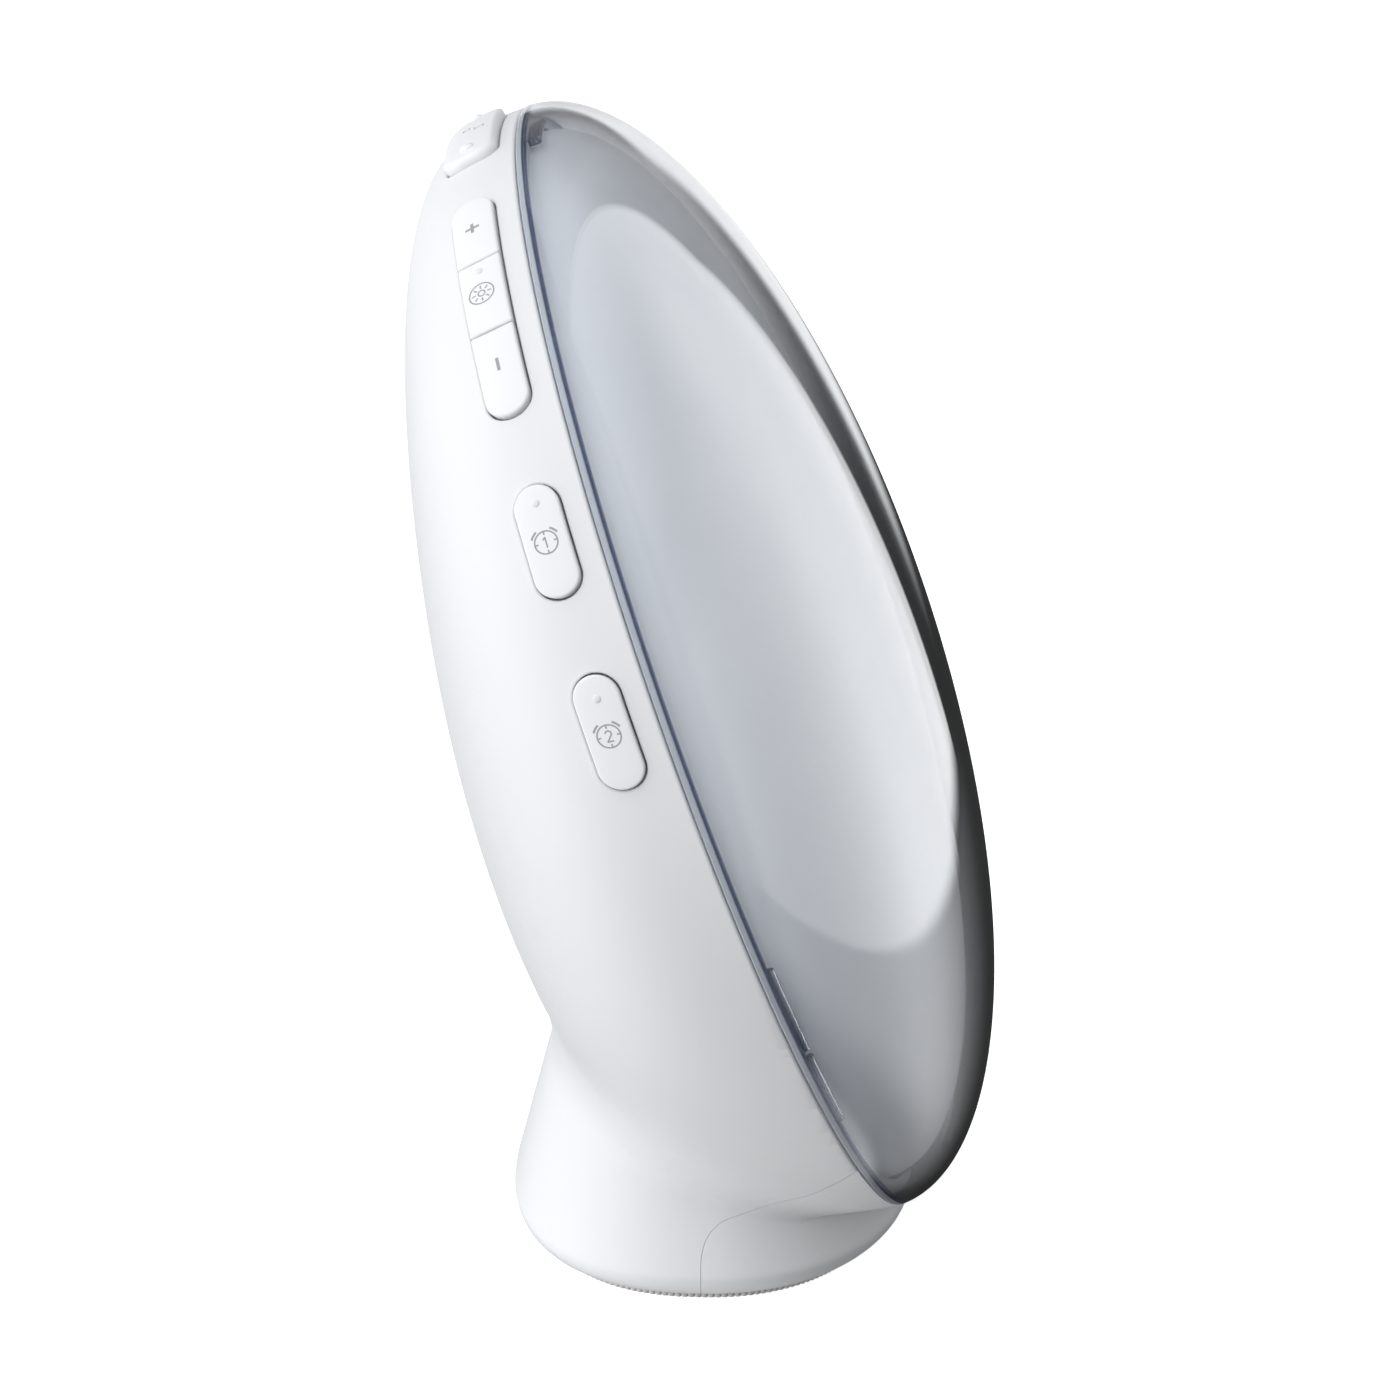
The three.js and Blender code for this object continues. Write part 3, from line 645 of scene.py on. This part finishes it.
def rounded(corner, before, after, radius, steps=4):
    """Points of a small arc that rounds a profile's corner."""
    corner, before, after = (np.array(p, float) for p in (corner, before, after))
    one = (before - corner) / np.linalg.norm(before - corner)
    two = (after - corner) / np.linalg.norm(after - corner)
    t = np.linspace(0, 1, steps + 1)[:, None]
    start, end = corner + one * radius, corner + two * radius
    curve = (1 - t) ** 2 * start + 2 * t * (1 - t) * corner + t ** 2 * end
    return [tuple(p) for p in curve]


LENS_RIBS = [(194.4, 10.5, 2.25), (206.0, 10.5, 2.25), (87.0, 8.0, 3.3)]
RIB_INNER, RIB_OUTER, RIB_LOW = 91.2, 92.3, 0.9


def make_lens(materials):
    outer = ellipse(LENS_R, LENS_H, 0.9, 60)
    inner = ellipse(LENS_INNER_R, LENS_INNER_H, LENS_STEP, 60)[::-1]
    edge_low = rounded((LENS_R, GAP), (LIP_R, GAP), outer[0], 0.35)
    profile = edge_low + outer + inner + [
        (LIP_IN, LENS_STEP), (LIP_IN, -LIP + 0.3), (LIP_IN + 0.3, -LIP), (LIP_R - 0.3, -LIP),
        (LIP_R, -LIP + 0.3), (LIP_R, GAP)]
    lens = lathe("front_lens_clear", profile, 320, sharp=35)
    for start, turn, high in LENS_RIBS:
        for side in (1, -1) if start > 180 else (1,):
            lens = boolean(lens, lens_rib("rib", start, turn, high, side), "UNION", sharp=35)
    return dress(lens, materials["lens"], replaced=["front_lens"])


def lens_rib(name, start, turn, high, side):
    """A short upright bar with a round top inside the lens edge."""
    half = (RIB_OUTER - RIB_INNER) / 2
    arch = np.radians(np.linspace(0, 180, 9))
    section = [(RIB_OUTER, RIB_LOW), *zip(RIB_INNER + half + half * np.cos(arch),
                                          high - half + half * np.sin(arch)), (RIB_INNER, RIB_LOW)]
    rings = []
    for degrees in np.linspace(start, start + turn, 14):
        angle = math.radians(degrees)
        radius, n = np.array(section).T
        rings.append(head_point(side * radius * math.cos(angle), radius * math.sin(angle), n))
    return loft(name, rings, sharp=35)


def make_diffuser(materials):
    outer = ellipse(DIFF_R, DIFF_H, 0.5, 48)
    inner = ellipse(DIFF_R - DIFF_WALL, DIFF_H - DIFF_WALL, 0.5, 40)[::-1]
    profile = [(DIFF_R, DIFF_BASE)] + outer + inner + [(DIFF_R - DIFF_WALL, DIFF_BASE)]
    dome = lathe("diffuser_dome", profile, 256, sharp=35)
    return dress(dome, materials["diffuser"], replaced=["diffuser"])


def lens_space(name, r, depth):
    """Straight round space about the lamp axis, from below the rim to past the lens."""
    profile = [(0, -depth), (r, -depth), (r, 0), (r, LENS_H + 5), (0, LENS_H + 5)]
    return lathe(name, profile, 320)


def rim_softener(name):
    """Ring that rounds the shell's front edge, just outside the lens."""
    radius = 0.45
    steps = [math.radians(t) for t in (0, 20, 40, 60, 78)]
    arc = [(RIM_R - radius + radius * math.sin(t), -radius + radius * math.cos(t)) for t in steps]
    inner, outer = RIM_R - radius - 0.6, RIM_R + 1.5
    skirting = [(RIM_R + 0.5, -radius), (outer, -radius), (outer, 3), (inner, 3)]
    return lathe(name, [(inner, 0.0)] + arc + skirting, 320)


def skirt_block(name, grow):
    """Prism across the pedestal whose outline is the skirt's seam."""
    back = SKIRT_BACK + grow
    t = np.linspace(0, 1, 25)[:, None]

    def bend(start, corner, end):
        return (1 - t) ** 2 * np.array(start) + 2 * t * (1 - t) * np.array(corner) + t ** 2 * np.array(end)

    arc = (SKIRT_ARC[0], SKIRT_ARC[1] + grow)
    ramp_start = (SKIRT_RAMP[0] + grow, SKIRT_RAMP[1] + grow)
    rise = SKIRT_RAMP[1] + (SKIRT_RAMP[0] + 60) * SKIRT_SLOPE + grow
    flat = np.concatenate([
        [(-60, -3), (back, -3)],
        bend((back, SKIRT_SIDE), (back, SKIRT_CORNER + grow), arc),
        bend(arc, (SKIRT_DIP[0] + 0.4 * grow, SKIRT_DIP[1] + grow), ramp_start)[1:],
        [(-60 + grow, rise)]])
    rings = [np.stack([np.full(len(flat), x), flat[:, 0], flat[:, 1]], 1) for x in (-70.0, 70.0)]
    return loft(name, rings)


def dish_space(name):
    deep = DISH_FLOOR - DISH_WALL - 1
    profile = [(0, deep), (DISH_FLOOR_R + 1, deep), (87, DISH_TOP - 1.8), (DISH_R + 1, DISH_TOP - 1.2),
               (DISH_R + 1, 0), (0, 0)]
    return lathe(name, profile, 160)


HOLLOW_LEVELS = [-1, 4.9, 5.6, 8, 10, 12.5, 15, 18, 22, 25, 29, 32, 36]


def cavity(name):
    """The hollow inside the bowl and pedestal, joined to the reflector's dish."""
    hollow = form(name, HOLLOW_LEVELS, WALL, 128, 40)
    return boolean(hollow, dish_space(name + "_dish"), "UNION")


GRILLE_R, SLOT_PITCH, SLOT_HALF = 18, 5, 0.9


def grille_slot(k):
    """Cutter for one round-ended sound slot, k slots above the speaker's middle."""
    length = 2 * math.sqrt(GRILLE_R ** 2 - (k * SLOT_PITCH) ** 2) - 2 * SLOT_HALF
    turn = np.linspace(0, math.pi, 13)
    right = np.stack([length / 2 + SLOT_HALF * np.sin(turn), SLOT_HALF * np.cos(turn)], 1)
    flat = np.concatenate([right, -right])
    rings = [head_point(flat[:, 0], flat[:, 1] + SPEAKER_M + k * SLOT_PITCH, n) for n in (-54.0, -34.0)]
    return loft(f"slot_{k}", rings)


def jack_cutter(name):
    turn = np.linspace(0, 2 * math.pi, 64, endpoint=False)
    rings = [np.stack([JACK_X + JACK_HOLE * np.cos(turn), np.full(64, y),
                       JACK_Z + JACK_HOLE * np.sin(turn)], 1)
             for y in (15.0, 45.0)]
    return loft(name, rings)


FINE_LEVELS = np.concatenate([PED_BOTTOM + PED_ROUND * (1 - np.cos(np.radians(np.linspace(0, 90, 13)))),
                              np.arange(6.4, 41, 0.8)])


def make_shell(materials):
    outer = form("rear_shell_fine", FINE_LEVELS, 0, 288, 120)
    hollow = cavity("hollow")
    shell = boolean(outer, hollow)
    shell = boolean(shell, block("front_space", (400, 400, 100), (0, 0, 50)))
    shell = boolean(shell, lens_space("lens_seat", LIP_R + GAP, SEAT))
    shell = boolean(shell, rim_softener("rim_soft"))
    shell = boolean(shell, skirt_block("skirt_space", SEAM_GAP))
    for name, spec in [("bar", BAR), ("alarm_1", SIDE_KEYS["alarm_1"]), ("alarm_2", SIDE_KEYS["alarm_2"])]:
        near = pocket_cutter("pocket_" + name, spec)
        far = mirrored_copy(near, "pocket_far_" + name)
        shell = boolean(boolean(shell, near), far)
    shell = boolean(shell, pocket_cutter("pocket_snooze", SNOOZE))
    shell = boolean(shell, jack_cutter("jack_hole"))
    for k in range(-3, 4):
        shell = boolean(shell, grille_slot(k), sharp=30)
    return dress(shell, materials["shell"], replaced=["rear_shell"])


def make_skirt(materials):
    outer = form("front_skirt_fine", FINE_LEVELS, 0, 288, 24)
    skirt = boolean(outer, skirt_block("skirt_shape", 0), "INTERSECT")
    skirt = boolean(skirt, cavity("skirt_hollow"))
    skirt = boolean(skirt, lens_space("skirt_lens", LENS_R + GAP, 0))
    skirt = boolean(skirt, lens_space("skirt_seat", LIP_R + GAP, SEAT))
    return dress(skirt, materials["skirt"], replaced=["front_skirt"])


# ---- keys -------------------------------------------------------------------------------

PRINT_UP = 0.03
PRINT_DOWN = -0.15


class Marks:
    """Collects thin raised prints on one key, drawn in (s, v) millimetres."""

    def __init__(self, theta, depth, raise_):
        self.theta, self.depth, self.raise_ = theta, depth, raise_
        self.points, self.faces = [], []

    def prism(self, flat):
        """A closed thin body over a convex or simple outline."""
        flat = np.asarray(flat, float)
        base = sum(len(p) for p in self.points)
        n = len(flat)
        for lift in (PRINT_DOWN, PRINT_UP):
            self.points.append(place(self.theta, self.depth, flat[:, 0], flat[:, 1],
                                     np.full(n, self.raise_ + lift)))
        self.faces += [(base + i, base + (i + 1) % n, base + n + (i + 1) % n, base + n + i) for i in range(n)]
        self.faces += [tuple(range(base, base + n))[::-1], tuple(range(base + n, base + 2 * n))]

    def bar(self, start, end, width):
        start, end = np.array(start, float), np.array(end, float)
        along = (end - start) / np.linalg.norm(end - start)
        side = np.array([-along[1], along[0]]) * width / 2
        self.prism([start - side, end - side, end + side, start + side])

    def dot(self, centre, radius, steps=32):
        turn = np.linspace(0, 2 * math.pi, steps, endpoint=False)
        self.prism(np.array(centre) + radius * np.stack([np.cos(turn), np.sin(turn)], 1))

    def stroke(self, path, width, closed=False):
        """A ribbon of even width along a path of points."""
        path = np.asarray(path, float)
        if closed:
            ahead, behind = np.roll(path, -1, 0), np.roll(path, 1, 0)
        else:
            ahead = np.concatenate([path[1:], path[-1:]])
            behind = np.concatenate([path[:1], path[:-1]])
        along = ahead - behind
        along /= np.linalg.norm(along, axis=1, keepdims=True)
        side = np.stack([-along[:, 1], along[:, 0]], 1) * width / 2
        base = sum(len(p) for p in self.points)
        loops = []
        for lift in (PRINT_DOWN, PRINT_UP):
            for sign in (-1, 1):
                loops.append(path + sign * side)
                self.points.append(place(self.theta, self.depth, loops[-1][:, 0], loops[-1][:, 1],
                                         np.full(len(path), self.raise_ + lift)))
        n = len(path)
        ring = [0, 1, 3, 2]
        steps = n if closed else n - 1
        for i in range(steps):
            j = (i + 1) % n
            for k in range(4):
                a, b = ring[k], ring[(k + 1) % 4]
                self.faces.append((base + a * n + i, base + b * n + i, base + b * n + j, base + a * n + j))
        if not closed:
            self.faces.append(tuple(base + a * n for a in ring)[::-1])
            self.faces.append(tuple(base + a * n + n - 1 for a in ring))

    def arc(self, centre, radius, start, end, width, steps=20):
        turn = np.radians(np.linspace(start, end, steps))
        self.stroke(np.array(centre) + radius * np.stack([np.cos(turn), np.sin(turn)], 1), width)

    def circle(self, centre, radius, width, steps=56):
        turn = np.linspace(0, 2 * math.pi, steps, endpoint=False)
        self.stroke(np.array(centre) + radius * np.stack([np.cos(turn), np.sin(turn)], 1), width, closed=True)

    def build(self, name):
        return make_object(name, np.concatenate(self.points), self.faces, sharp=40)


def along_key(theta, reference):
    """Arc length on a key for a spot at angle theta."""
    return math.radians(reference - theta) * RIM_R


def turned(points, angle, centre=(0, 0)):
    c, s = math.cos(angle), math.sin(angle)
    return np.asarray(points, float) @ np.array([[c, s], [-s, c]]) + np.array(centre)


LINE = 0.22


def sun_mark(marks, s, v):
    marks.circle((s, v), 2.0, LINE)
    marks.circle((s, v), 0.55, LINE, 24)
    for k in range(8):
        ray = turned([(0.95, 0), (1.6, 0)], k * math.pi / 4, (s, v))
        marks.bar(ray[0], ray[1], LINE)


def clock_mark(marks, s, v, digit):
    """Alarm clock: ring with four ticks, two bells and a digit, upright when the key is."""
    centre = (s, v)
    marks.circle(centre, 1.75, LINE)
    for k in range(4):
        tick = turned([(1.2, 0), (1.72, 0)], k * math.pi / 2, centre)
        marks.bar(tick[0], tick[1], LINE)
    for side in (-1, 1):
        marks.arc(centre, 2.25, side * 28, side * 62, 0.3)
    if digit == 1:
        marks.bar((s - 0.85, v), (s + 0.85, v), LINE)
        marks.bar((s + 0.8, v - 0.02), (s + 0.45, v + 0.4), LINE)
    else:
        bend = [(s + 0.38 + 0.45 * math.sin(t), v - 0.45 * math.cos(t))
                for t in np.radians(range(165, -50, -15))]
        marks.stroke(bend + [(s - 0.8, v + 0.42)], LINE)
        marks.bar((s - 0.82, v + 0.5), (s - 0.82, v - 0.5), LINE)


def key_marks(name, spec):
    theta = spec["theta"]
    marks = Marks(theta, spec["depth"], KEY_RAISE)
    if name == "light_plus":
        s = along_key(112.4, theta)
        marks.bar((s - 1.15, 0.1), (s + 1.15, 0.1), 0.5)
        marks.bar((s, -1.05), (s, -0.15), 0.5)
        marks.bar((s, 0.35), (s, 1.25), 0.5)
    elif name == "light_minus":
        s = along_key(130.6, theta)
        marks.bar((s - 1.15, 0.1), (s + 1.15, 0.1), 0.5)
    elif name == "light_switch":
        sun_mark(marks, 0.0, 0.3)
    elif name == "alarm_1":
        clock_mark(marks, along_key(149.2, theta), 0.0, 1)
    elif name == "alarm_2":
        clock_mark(marks, along_key(167.6, theta), 0.0, 2)
    return marks


def pilot_spot(name, theta):
    """Where each key's small pilot lens sits, as arc length and depth, or None."""
    spots = {"light_switch": (118.9, 0.1), "alarm_1": (145.4, -0.1), "alarm_2": (164.1, -0.1)}
    if name not in spots:
        return None
    angle, v = spots[name]
    return along_key(angle, theta), v


def pilot_dome(name, spec, s, v):
    """A small domed light pipe standing a little out of the key."""
    radius, high = 0.6, 0.22
    turn = np.linspace(0, 2 * math.pi, 28, endpoint=False)
    rings = []
    for r, lift in [(radius, -0.4), (radius, 0.02), (radius * 0.92, high * 0.4), (radius * 0.72, high * 0.75),
                    (radius * 0.4, high * 0.95), (radius * 0.08, high)]:
        rings.append(place(spec["theta"], spec["depth"], s + r * np.cos(turn), v + r * np.sin(turn),
                           np.full(28, KEY_RAISE + lift)))
    return loft(name, rings)


def make_side_keys(materials):
    for name, spec in SIDE_KEYS.items():
        twin = FAR_KEYS[name]
        cap = slab("cap_" + name, spec, cap_levels(spec, KEY_RAISE, 0.4))
        far_cap = mirrored_copy(cap, "cap_" + twin)
        dress(cap, materials["key"], name, ["key_" + name])
        dress(far_cap, materials["key"], twin, ["key_" + twin])
        marks = key_marks(name, spec).build("print_" + name)
        far_marks = mirrored_copy(marks, "print_" + twin)
        dress(marks, materials["print"], name)
        dress(far_marks, materials["print"], twin)
        spot = pilot_spot(name, spec["theta"])
        if spot:
            pilot = pilot_dome("pilot_" + name, spec, *spot)
            far_pilot = mirrored_copy(pilot, "pilot_" + twin)
            dress(pilot, materials["pipe"], name)
            dress(far_pilot, materials["pipe"], twin)


def make_snooze(materials):
    cap = slab("cap_snooze", SNOOZE, cap_levels(SNOOZE, SNOOZE_RAISE, 0.9))
    for k, s in enumerate((-10.5, 10.5)):
        turn = np.linspace(0, 2 * math.pi, 24, endpoint=False)
        rings = []
        for r, lift in [(1.15, -0.5), (1.15, 0.0), (1.05, 0.25), (0.8, 0.46), (0.45, 0.58), (0.08, 0.62)]:
            rings.append(place(90, KEY_DEPTH, s + r * np.cos(turn), r * np.sin(turn),
                               np.full(24, SNOOZE_RAISE + lift)))
        cap = boolean(cap, loft(f"bump_{k}", rings), "UNION", sharp=40)
    dress(cap, materials["key"], "snooze", ["key_snooze"])
    marks = Marks(90, KEY_DEPTH, SNOOZE_RAISE)
    for s, v, size in ((-0.9, -1.6, 1.5), (0.9, 0.6, 1.1)):
        marks.stroke([(s - size / 2, v - size / 2), (s + size / 2, v - size / 2),
                      (s - size / 2, v + size / 2), (s + size / 2, v + size / 2)], LINE)
    dress(marks.build("print_snooze"), materials["print"], "snooze")


# ---- foot, base, inlet ------------------------------------------------------------------

def level_ring(x, y, z, count, ripple=None):
    angle = np.linspace(0, 2 * math.pi, count, endpoint=False)
    r = oval(x, y, angle)
    if ripple is not None:
        r = r - ripple
    return np.stack([r * np.cos(angle), PED_YC + r * np.sin(angle), np.full(count, z)], 1)


def make_foot(materials):
    per_rib = 8
    count = FOOT_RIBS * per_rib
    wave = np.arange(count) % per_rib / per_rib
    ripple = FOOT_RIB * (1 - np.sqrt(np.maximum(1 - (2 * wave - 1) ** 2, 0)))
    rings = []
    for z, shrink in ((FOOT_TOP, 0), (0.35, 0), (0.1, 0.1), (0.0, 0.35)):
        rings.append(level_ring(FOOT_X - shrink, FOOT_Y - shrink, z, count, ripple))
    for z in (0.0, FOOT_TOP):
        rings.append(level_ring(FOOT_IN_X, FOOT_IN_Y, z, count))
    ring = torus_loft("foot_ring_ribbed", rings, sharp=50)
    return dress(ring, materials["foot"], replaced=["foot_ring"])


def make_carried_over(materials):
    """Materials for the CAD nodes that are kept as they are."""
    looks = {"reflector": "reflector", "led_board": "board", "display_module": "black", "main_board": "board",
             "speaker": "cone", "dc_jack": "black", "base_plate": "base", "counterweight": "weight"}
    looks.update({f"led_{k}": "led" for k in range(1, 7)})
    looks.update({f"screw_base_{k}": "screw" for k in (1, 2, 3)})
    looks.update({n: "black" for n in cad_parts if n.startswith("switch_")})
    looks.update({n: "board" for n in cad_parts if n.startswith("key_board_")})
    for name, look in looks.items():
        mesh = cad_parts[name]
        for k, slot in enumerate(mesh.material_slots):
            slot.link = "OBJECT"
            slot.material = materials[look]


# ---- studio -----------------------------------------------------------------------------

CAMERA_AZIMUTH = math.radians(-88.68)
CAMERA_RISE = math.radians(18)
CAMERA_DISTANCE = 0.9
FOCAL_PER_WIDTH = 3.9
RIM_IN_FRAME = (0.0142, 0.0336)


def make_camera():
    data = bpy.data.cameras.new("camera")
    camera = bpy.data.objects.new("camera", data)
    bpy.context.scene.collection.objects.link(camera)
    a, e = CAMERA_AZIMUTH, CAMERA_RISE
    back = Vector((math.sin(a) * math.cos(e), -math.cos(a) * math.cos(e), math.sin(e)))
    aim = Vector((CENTRE + SHIFT) * MM)
    camera.location = aim + back * CAMERA_DISTANCE
    camera.rotation_mode = "QUATERNION"
    camera.rotation_quaternion = (-back).to_track_quat("-Z", "Y")
    data.sensor_width = 36
    data.lens = 36 * FOCAL_PER_WIDTH
    data.shift_x, data.shift_y = -RIM_IN_FRAME[0], -RIM_IN_FRAME[1]
    data.clip_start, data.clip_end = 0.05, 20
    bpy.context.scene.camera = camera


FLOOR_GLOW = 0.8


def make_floor():
    """A plain pale floor that keeps its brightness in the picture and stays out of reflections."""
    mesh = bpy.data.meshes.new("floor")
    reach = 4.0
    mesh.from_pydata([(-reach, -reach, 0), (reach, -reach, 0), (reach, reach, 0), (-reach, reach, 0)], [],
                     [(0, 1, 2, 3)])
    floor = bpy.data.objects.new("floor", mesh)
    bpy.context.scene.collection.objects.link(floor)
    material, nodes, links, shader = new_material("floor pale")
    shader.inputs["Base Color"].default_value = (0.8, 0.8, 0.8, 1)
    shader.inputs["Roughness"].default_value = 1.0
    shader.inputs["Specular IOR Level"].default_value = 0.0
    shader.inputs["Emission Color"].default_value = (1, 1, 1, 1)
    path = node(nodes, "ShaderNodeLightPath")
    glow = maths(nodes, links, "MULTIPLY", path.outputs["Is Camera Ray"], FLOOR_GLOW)
    links.new(glow, shader.inputs["Emission Strength"])
    mesh.materials.append(material)
    floor.visible_glossy = False
    floor.visible_diffuse = False
    floor.visible_transmission = False
    return floor


def window(nodes, links, value, limits, soft):
    """1 where value lies between two limits in degrees, fading over soft degrees at each."""
    low, high = (math.radians(v) for v in limits)
    soft_low, soft_high = (math.radians(v) for v in (soft if isinstance(soft, tuple) else (soft, soft)))
    rise = node(nodes, "ShaderNodeMapRange", interpolation_type="SMOOTHSTEP")
    rise.inputs["From Min"].default_value = low - soft_low
    rise.inputs["From Max"].default_value = low + soft_low
    fall = node(nodes, "ShaderNodeMapRange", interpolation_type="SMOOTHSTEP")
    fall.inputs["From Min"].default_value = high - soft_high
    fall.inputs["From Max"].default_value = high + soft_high
    fall.inputs["To Min"].default_value, fall.inputs["To Max"].default_value = 1, 0
    links.new(value, rise.inputs["Value"])
    links.new(value, fall.inputs["Value"])
    return maths(nodes, links, "MULTIPLY", rise.outputs["Result"], fall.outputs["Result"])


def make_world():
    """A pale studio of soft areas by azimuth (0 is in front of the lens) and elevation, in degrees.
    One set lights the lamp. Another is what its glossy parts mirror, and is set by the reflections."""
    world = bpy.data.worlds.new("studio")
    bpy.context.scene.world = world
    world.use_nodes = True
    nodes, links = world.node_tree.nodes, world.node_tree.links
    background = nodes["Background"]
    coords = node(nodes, "ShaderNodeTexCoord")
    split = node(nodes, "ShaderNodeSeparateXYZ")
    links.new(coords.outputs["Generated"], split.inputs["Vector"])
    minus_y = maths(nodes, links, "MULTIPLY", split.outputs["Y"], -1)
    azimuth = maths(nodes, links, "ARCTAN2", split.outputs["X"], minus_y)
    rise = maths(nodes, links, "ARCSINE", split.outputs["Z"])

    def patch(value, az, az_soft, el, el_soft, lean=0.0):
        """An even area between two azimuths and two elevations; lean tilts its upright edges."""
        leaned = maths(nodes, links, "MULTIPLY_ADD", rise, lean, azimuth)
        wide = window(nodes, links, leaned, az, az_soft)
        tall = window(nodes, links, rise, el, el_soft)
        area = maths(nodes, links, "MULTIPLY", wide, tall)
        return maths(nodes, links, "MULTIPLY", area, value)

    def combined(parts, operation):
        whole = parts[0]
        for part in parts[1:]:
            whole = maths(nodes, links, operation, whole, part)
        return whole

    lighting = combined([
        patch(1.70, (-200, -48), 10, (18, 100), 12),      # bright wall beside and behind the camera
        patch(1.75, (-200, -109), 20, (-30, 18), 12),
        patch(0.25, (-109, -55), 20, (-30, 18), 12),      # lower and further round it is shaded
        patch(1.80, (-200, -122), 20, (-100, -30), 12),   # the pale table on that side
        patch(0.12, (-125, -55), 22, (-100, -30), 12),
        patch(1.20, (115, 200), 15, (-20, 100), 10),      # wall behind the lamp
        patch(1.60, (115, 200), 15, (-100, -20), 10),
        patch(0.15, (-48, 115), 10, (5, 100), 12),        # dim room in front
        patch(0.08, (-48, 115), 10, (-100, 5), 12),
        patch(0.85, (-48, 115), 10, (58, 100), 8),        # ceiling
        patch(0.03, (-200, 200), 5, (-100, 100), 5),
    ], "ADD")
    panel = combined([
        patch(1.50, (-48, 64.4), (18, 0.5), (-15, 101), 0.8),      # soft panel in front of the lamp
        patch(1.50, (10, 67.6), (5, 0.5), (-14.4, 101), 0.8, 0.32),     # its far edge leans outwards
        patch(0.26, (64, 78), 2, (-2, 100), 6),
    ], "MAXIMUM")
    mirrored = combined([
        panel,
        patch(0.65, (-48, 54), (18, 10), (-15, 30), (0.8, 12)),    # the lamp inside the panel
        patch(1.00, (-200, -50), 8, (-25, 100), 12),
        patch(0.70, (-200, -50), 8, (-100, -25), 12),
        patch(0.70, (115, 200), 15, (-20, 100), 10),
        patch(1.00, (78, 115), 2, (-12.5, 5), 2),         # white backdrop on the far side
        patch(0.15, (78, 115), 2, (5, 101), (2, 1)),
        patch(0.60, (64, 115), (3, 2), (45, 101), (14, 1)),
        patch(1.00, (-90, 115), 8, (-101, -60), (1, 5)),  # table close under the lens
        patch(0.80, (-50, 52), 16, (-34, -15), (10, 0.8)),         # pale table in front of the lamp
        patch(0.33, (-50, 62), 16, (-100, -15), (10, 0.8)),
        patch(0.035, (-200, 200), 5, (-100, 100), 5),
    ], "ADD")

    path = node(nodes, "ShaderNodeLightPath")
    straight = maths(nodes, links, "LESS_THAN", path.outputs["Diffuse Depth"], 0.5)
    mirror = maths(nodes, links, "MULTIPLY", path.outputs["Is Glossy Ray"], path.outputs["Is Reflection Ray"])
    sharp_path = maths(nodes, links, "MAXIMUM", mirror, path.outputs["Is Transmission Ray"])
    seen = maths(nodes, links, "MULTIPLY", sharp_path, straight)
    mix = node(nodes, "ShaderNodeMix", data_type="FLOAT")
    links.new(seen, mix.inputs["Factor"])
    links.new(lighting, mix.inputs["A"])
    links.new(mirrored, mix.inputs["B"])
    links.new(mix.outputs["Result"], background.inputs["Strength"])
    background.inputs["Color"].default_value = (0.985, 0.992, 1.0, 1)


def make_render_look():
    scene = bpy.context.scene
    scene.view_settings.view_transform = "Standard"
    scene.view_settings.look = "None"
    scene.cycles.max_bounces = 16
    scene.cycles.transmission_bounces = 14
    scene.cycles.transparent_max_bounces = 12
    scene.cycles.sample_clamp_indirect = 8.0


# ---- assembly ---------------------------------------------------------------------------

make_camera()
materials = make_materials()
make_lens(materials)
make_diffuser(materials)
make_shell(materials)
make_skirt(materials)
make_side_keys(materials)
make_snooze(materials)
make_foot(materials)
make_carried_over(materials)
make_floor()
make_world()
make_render_look()
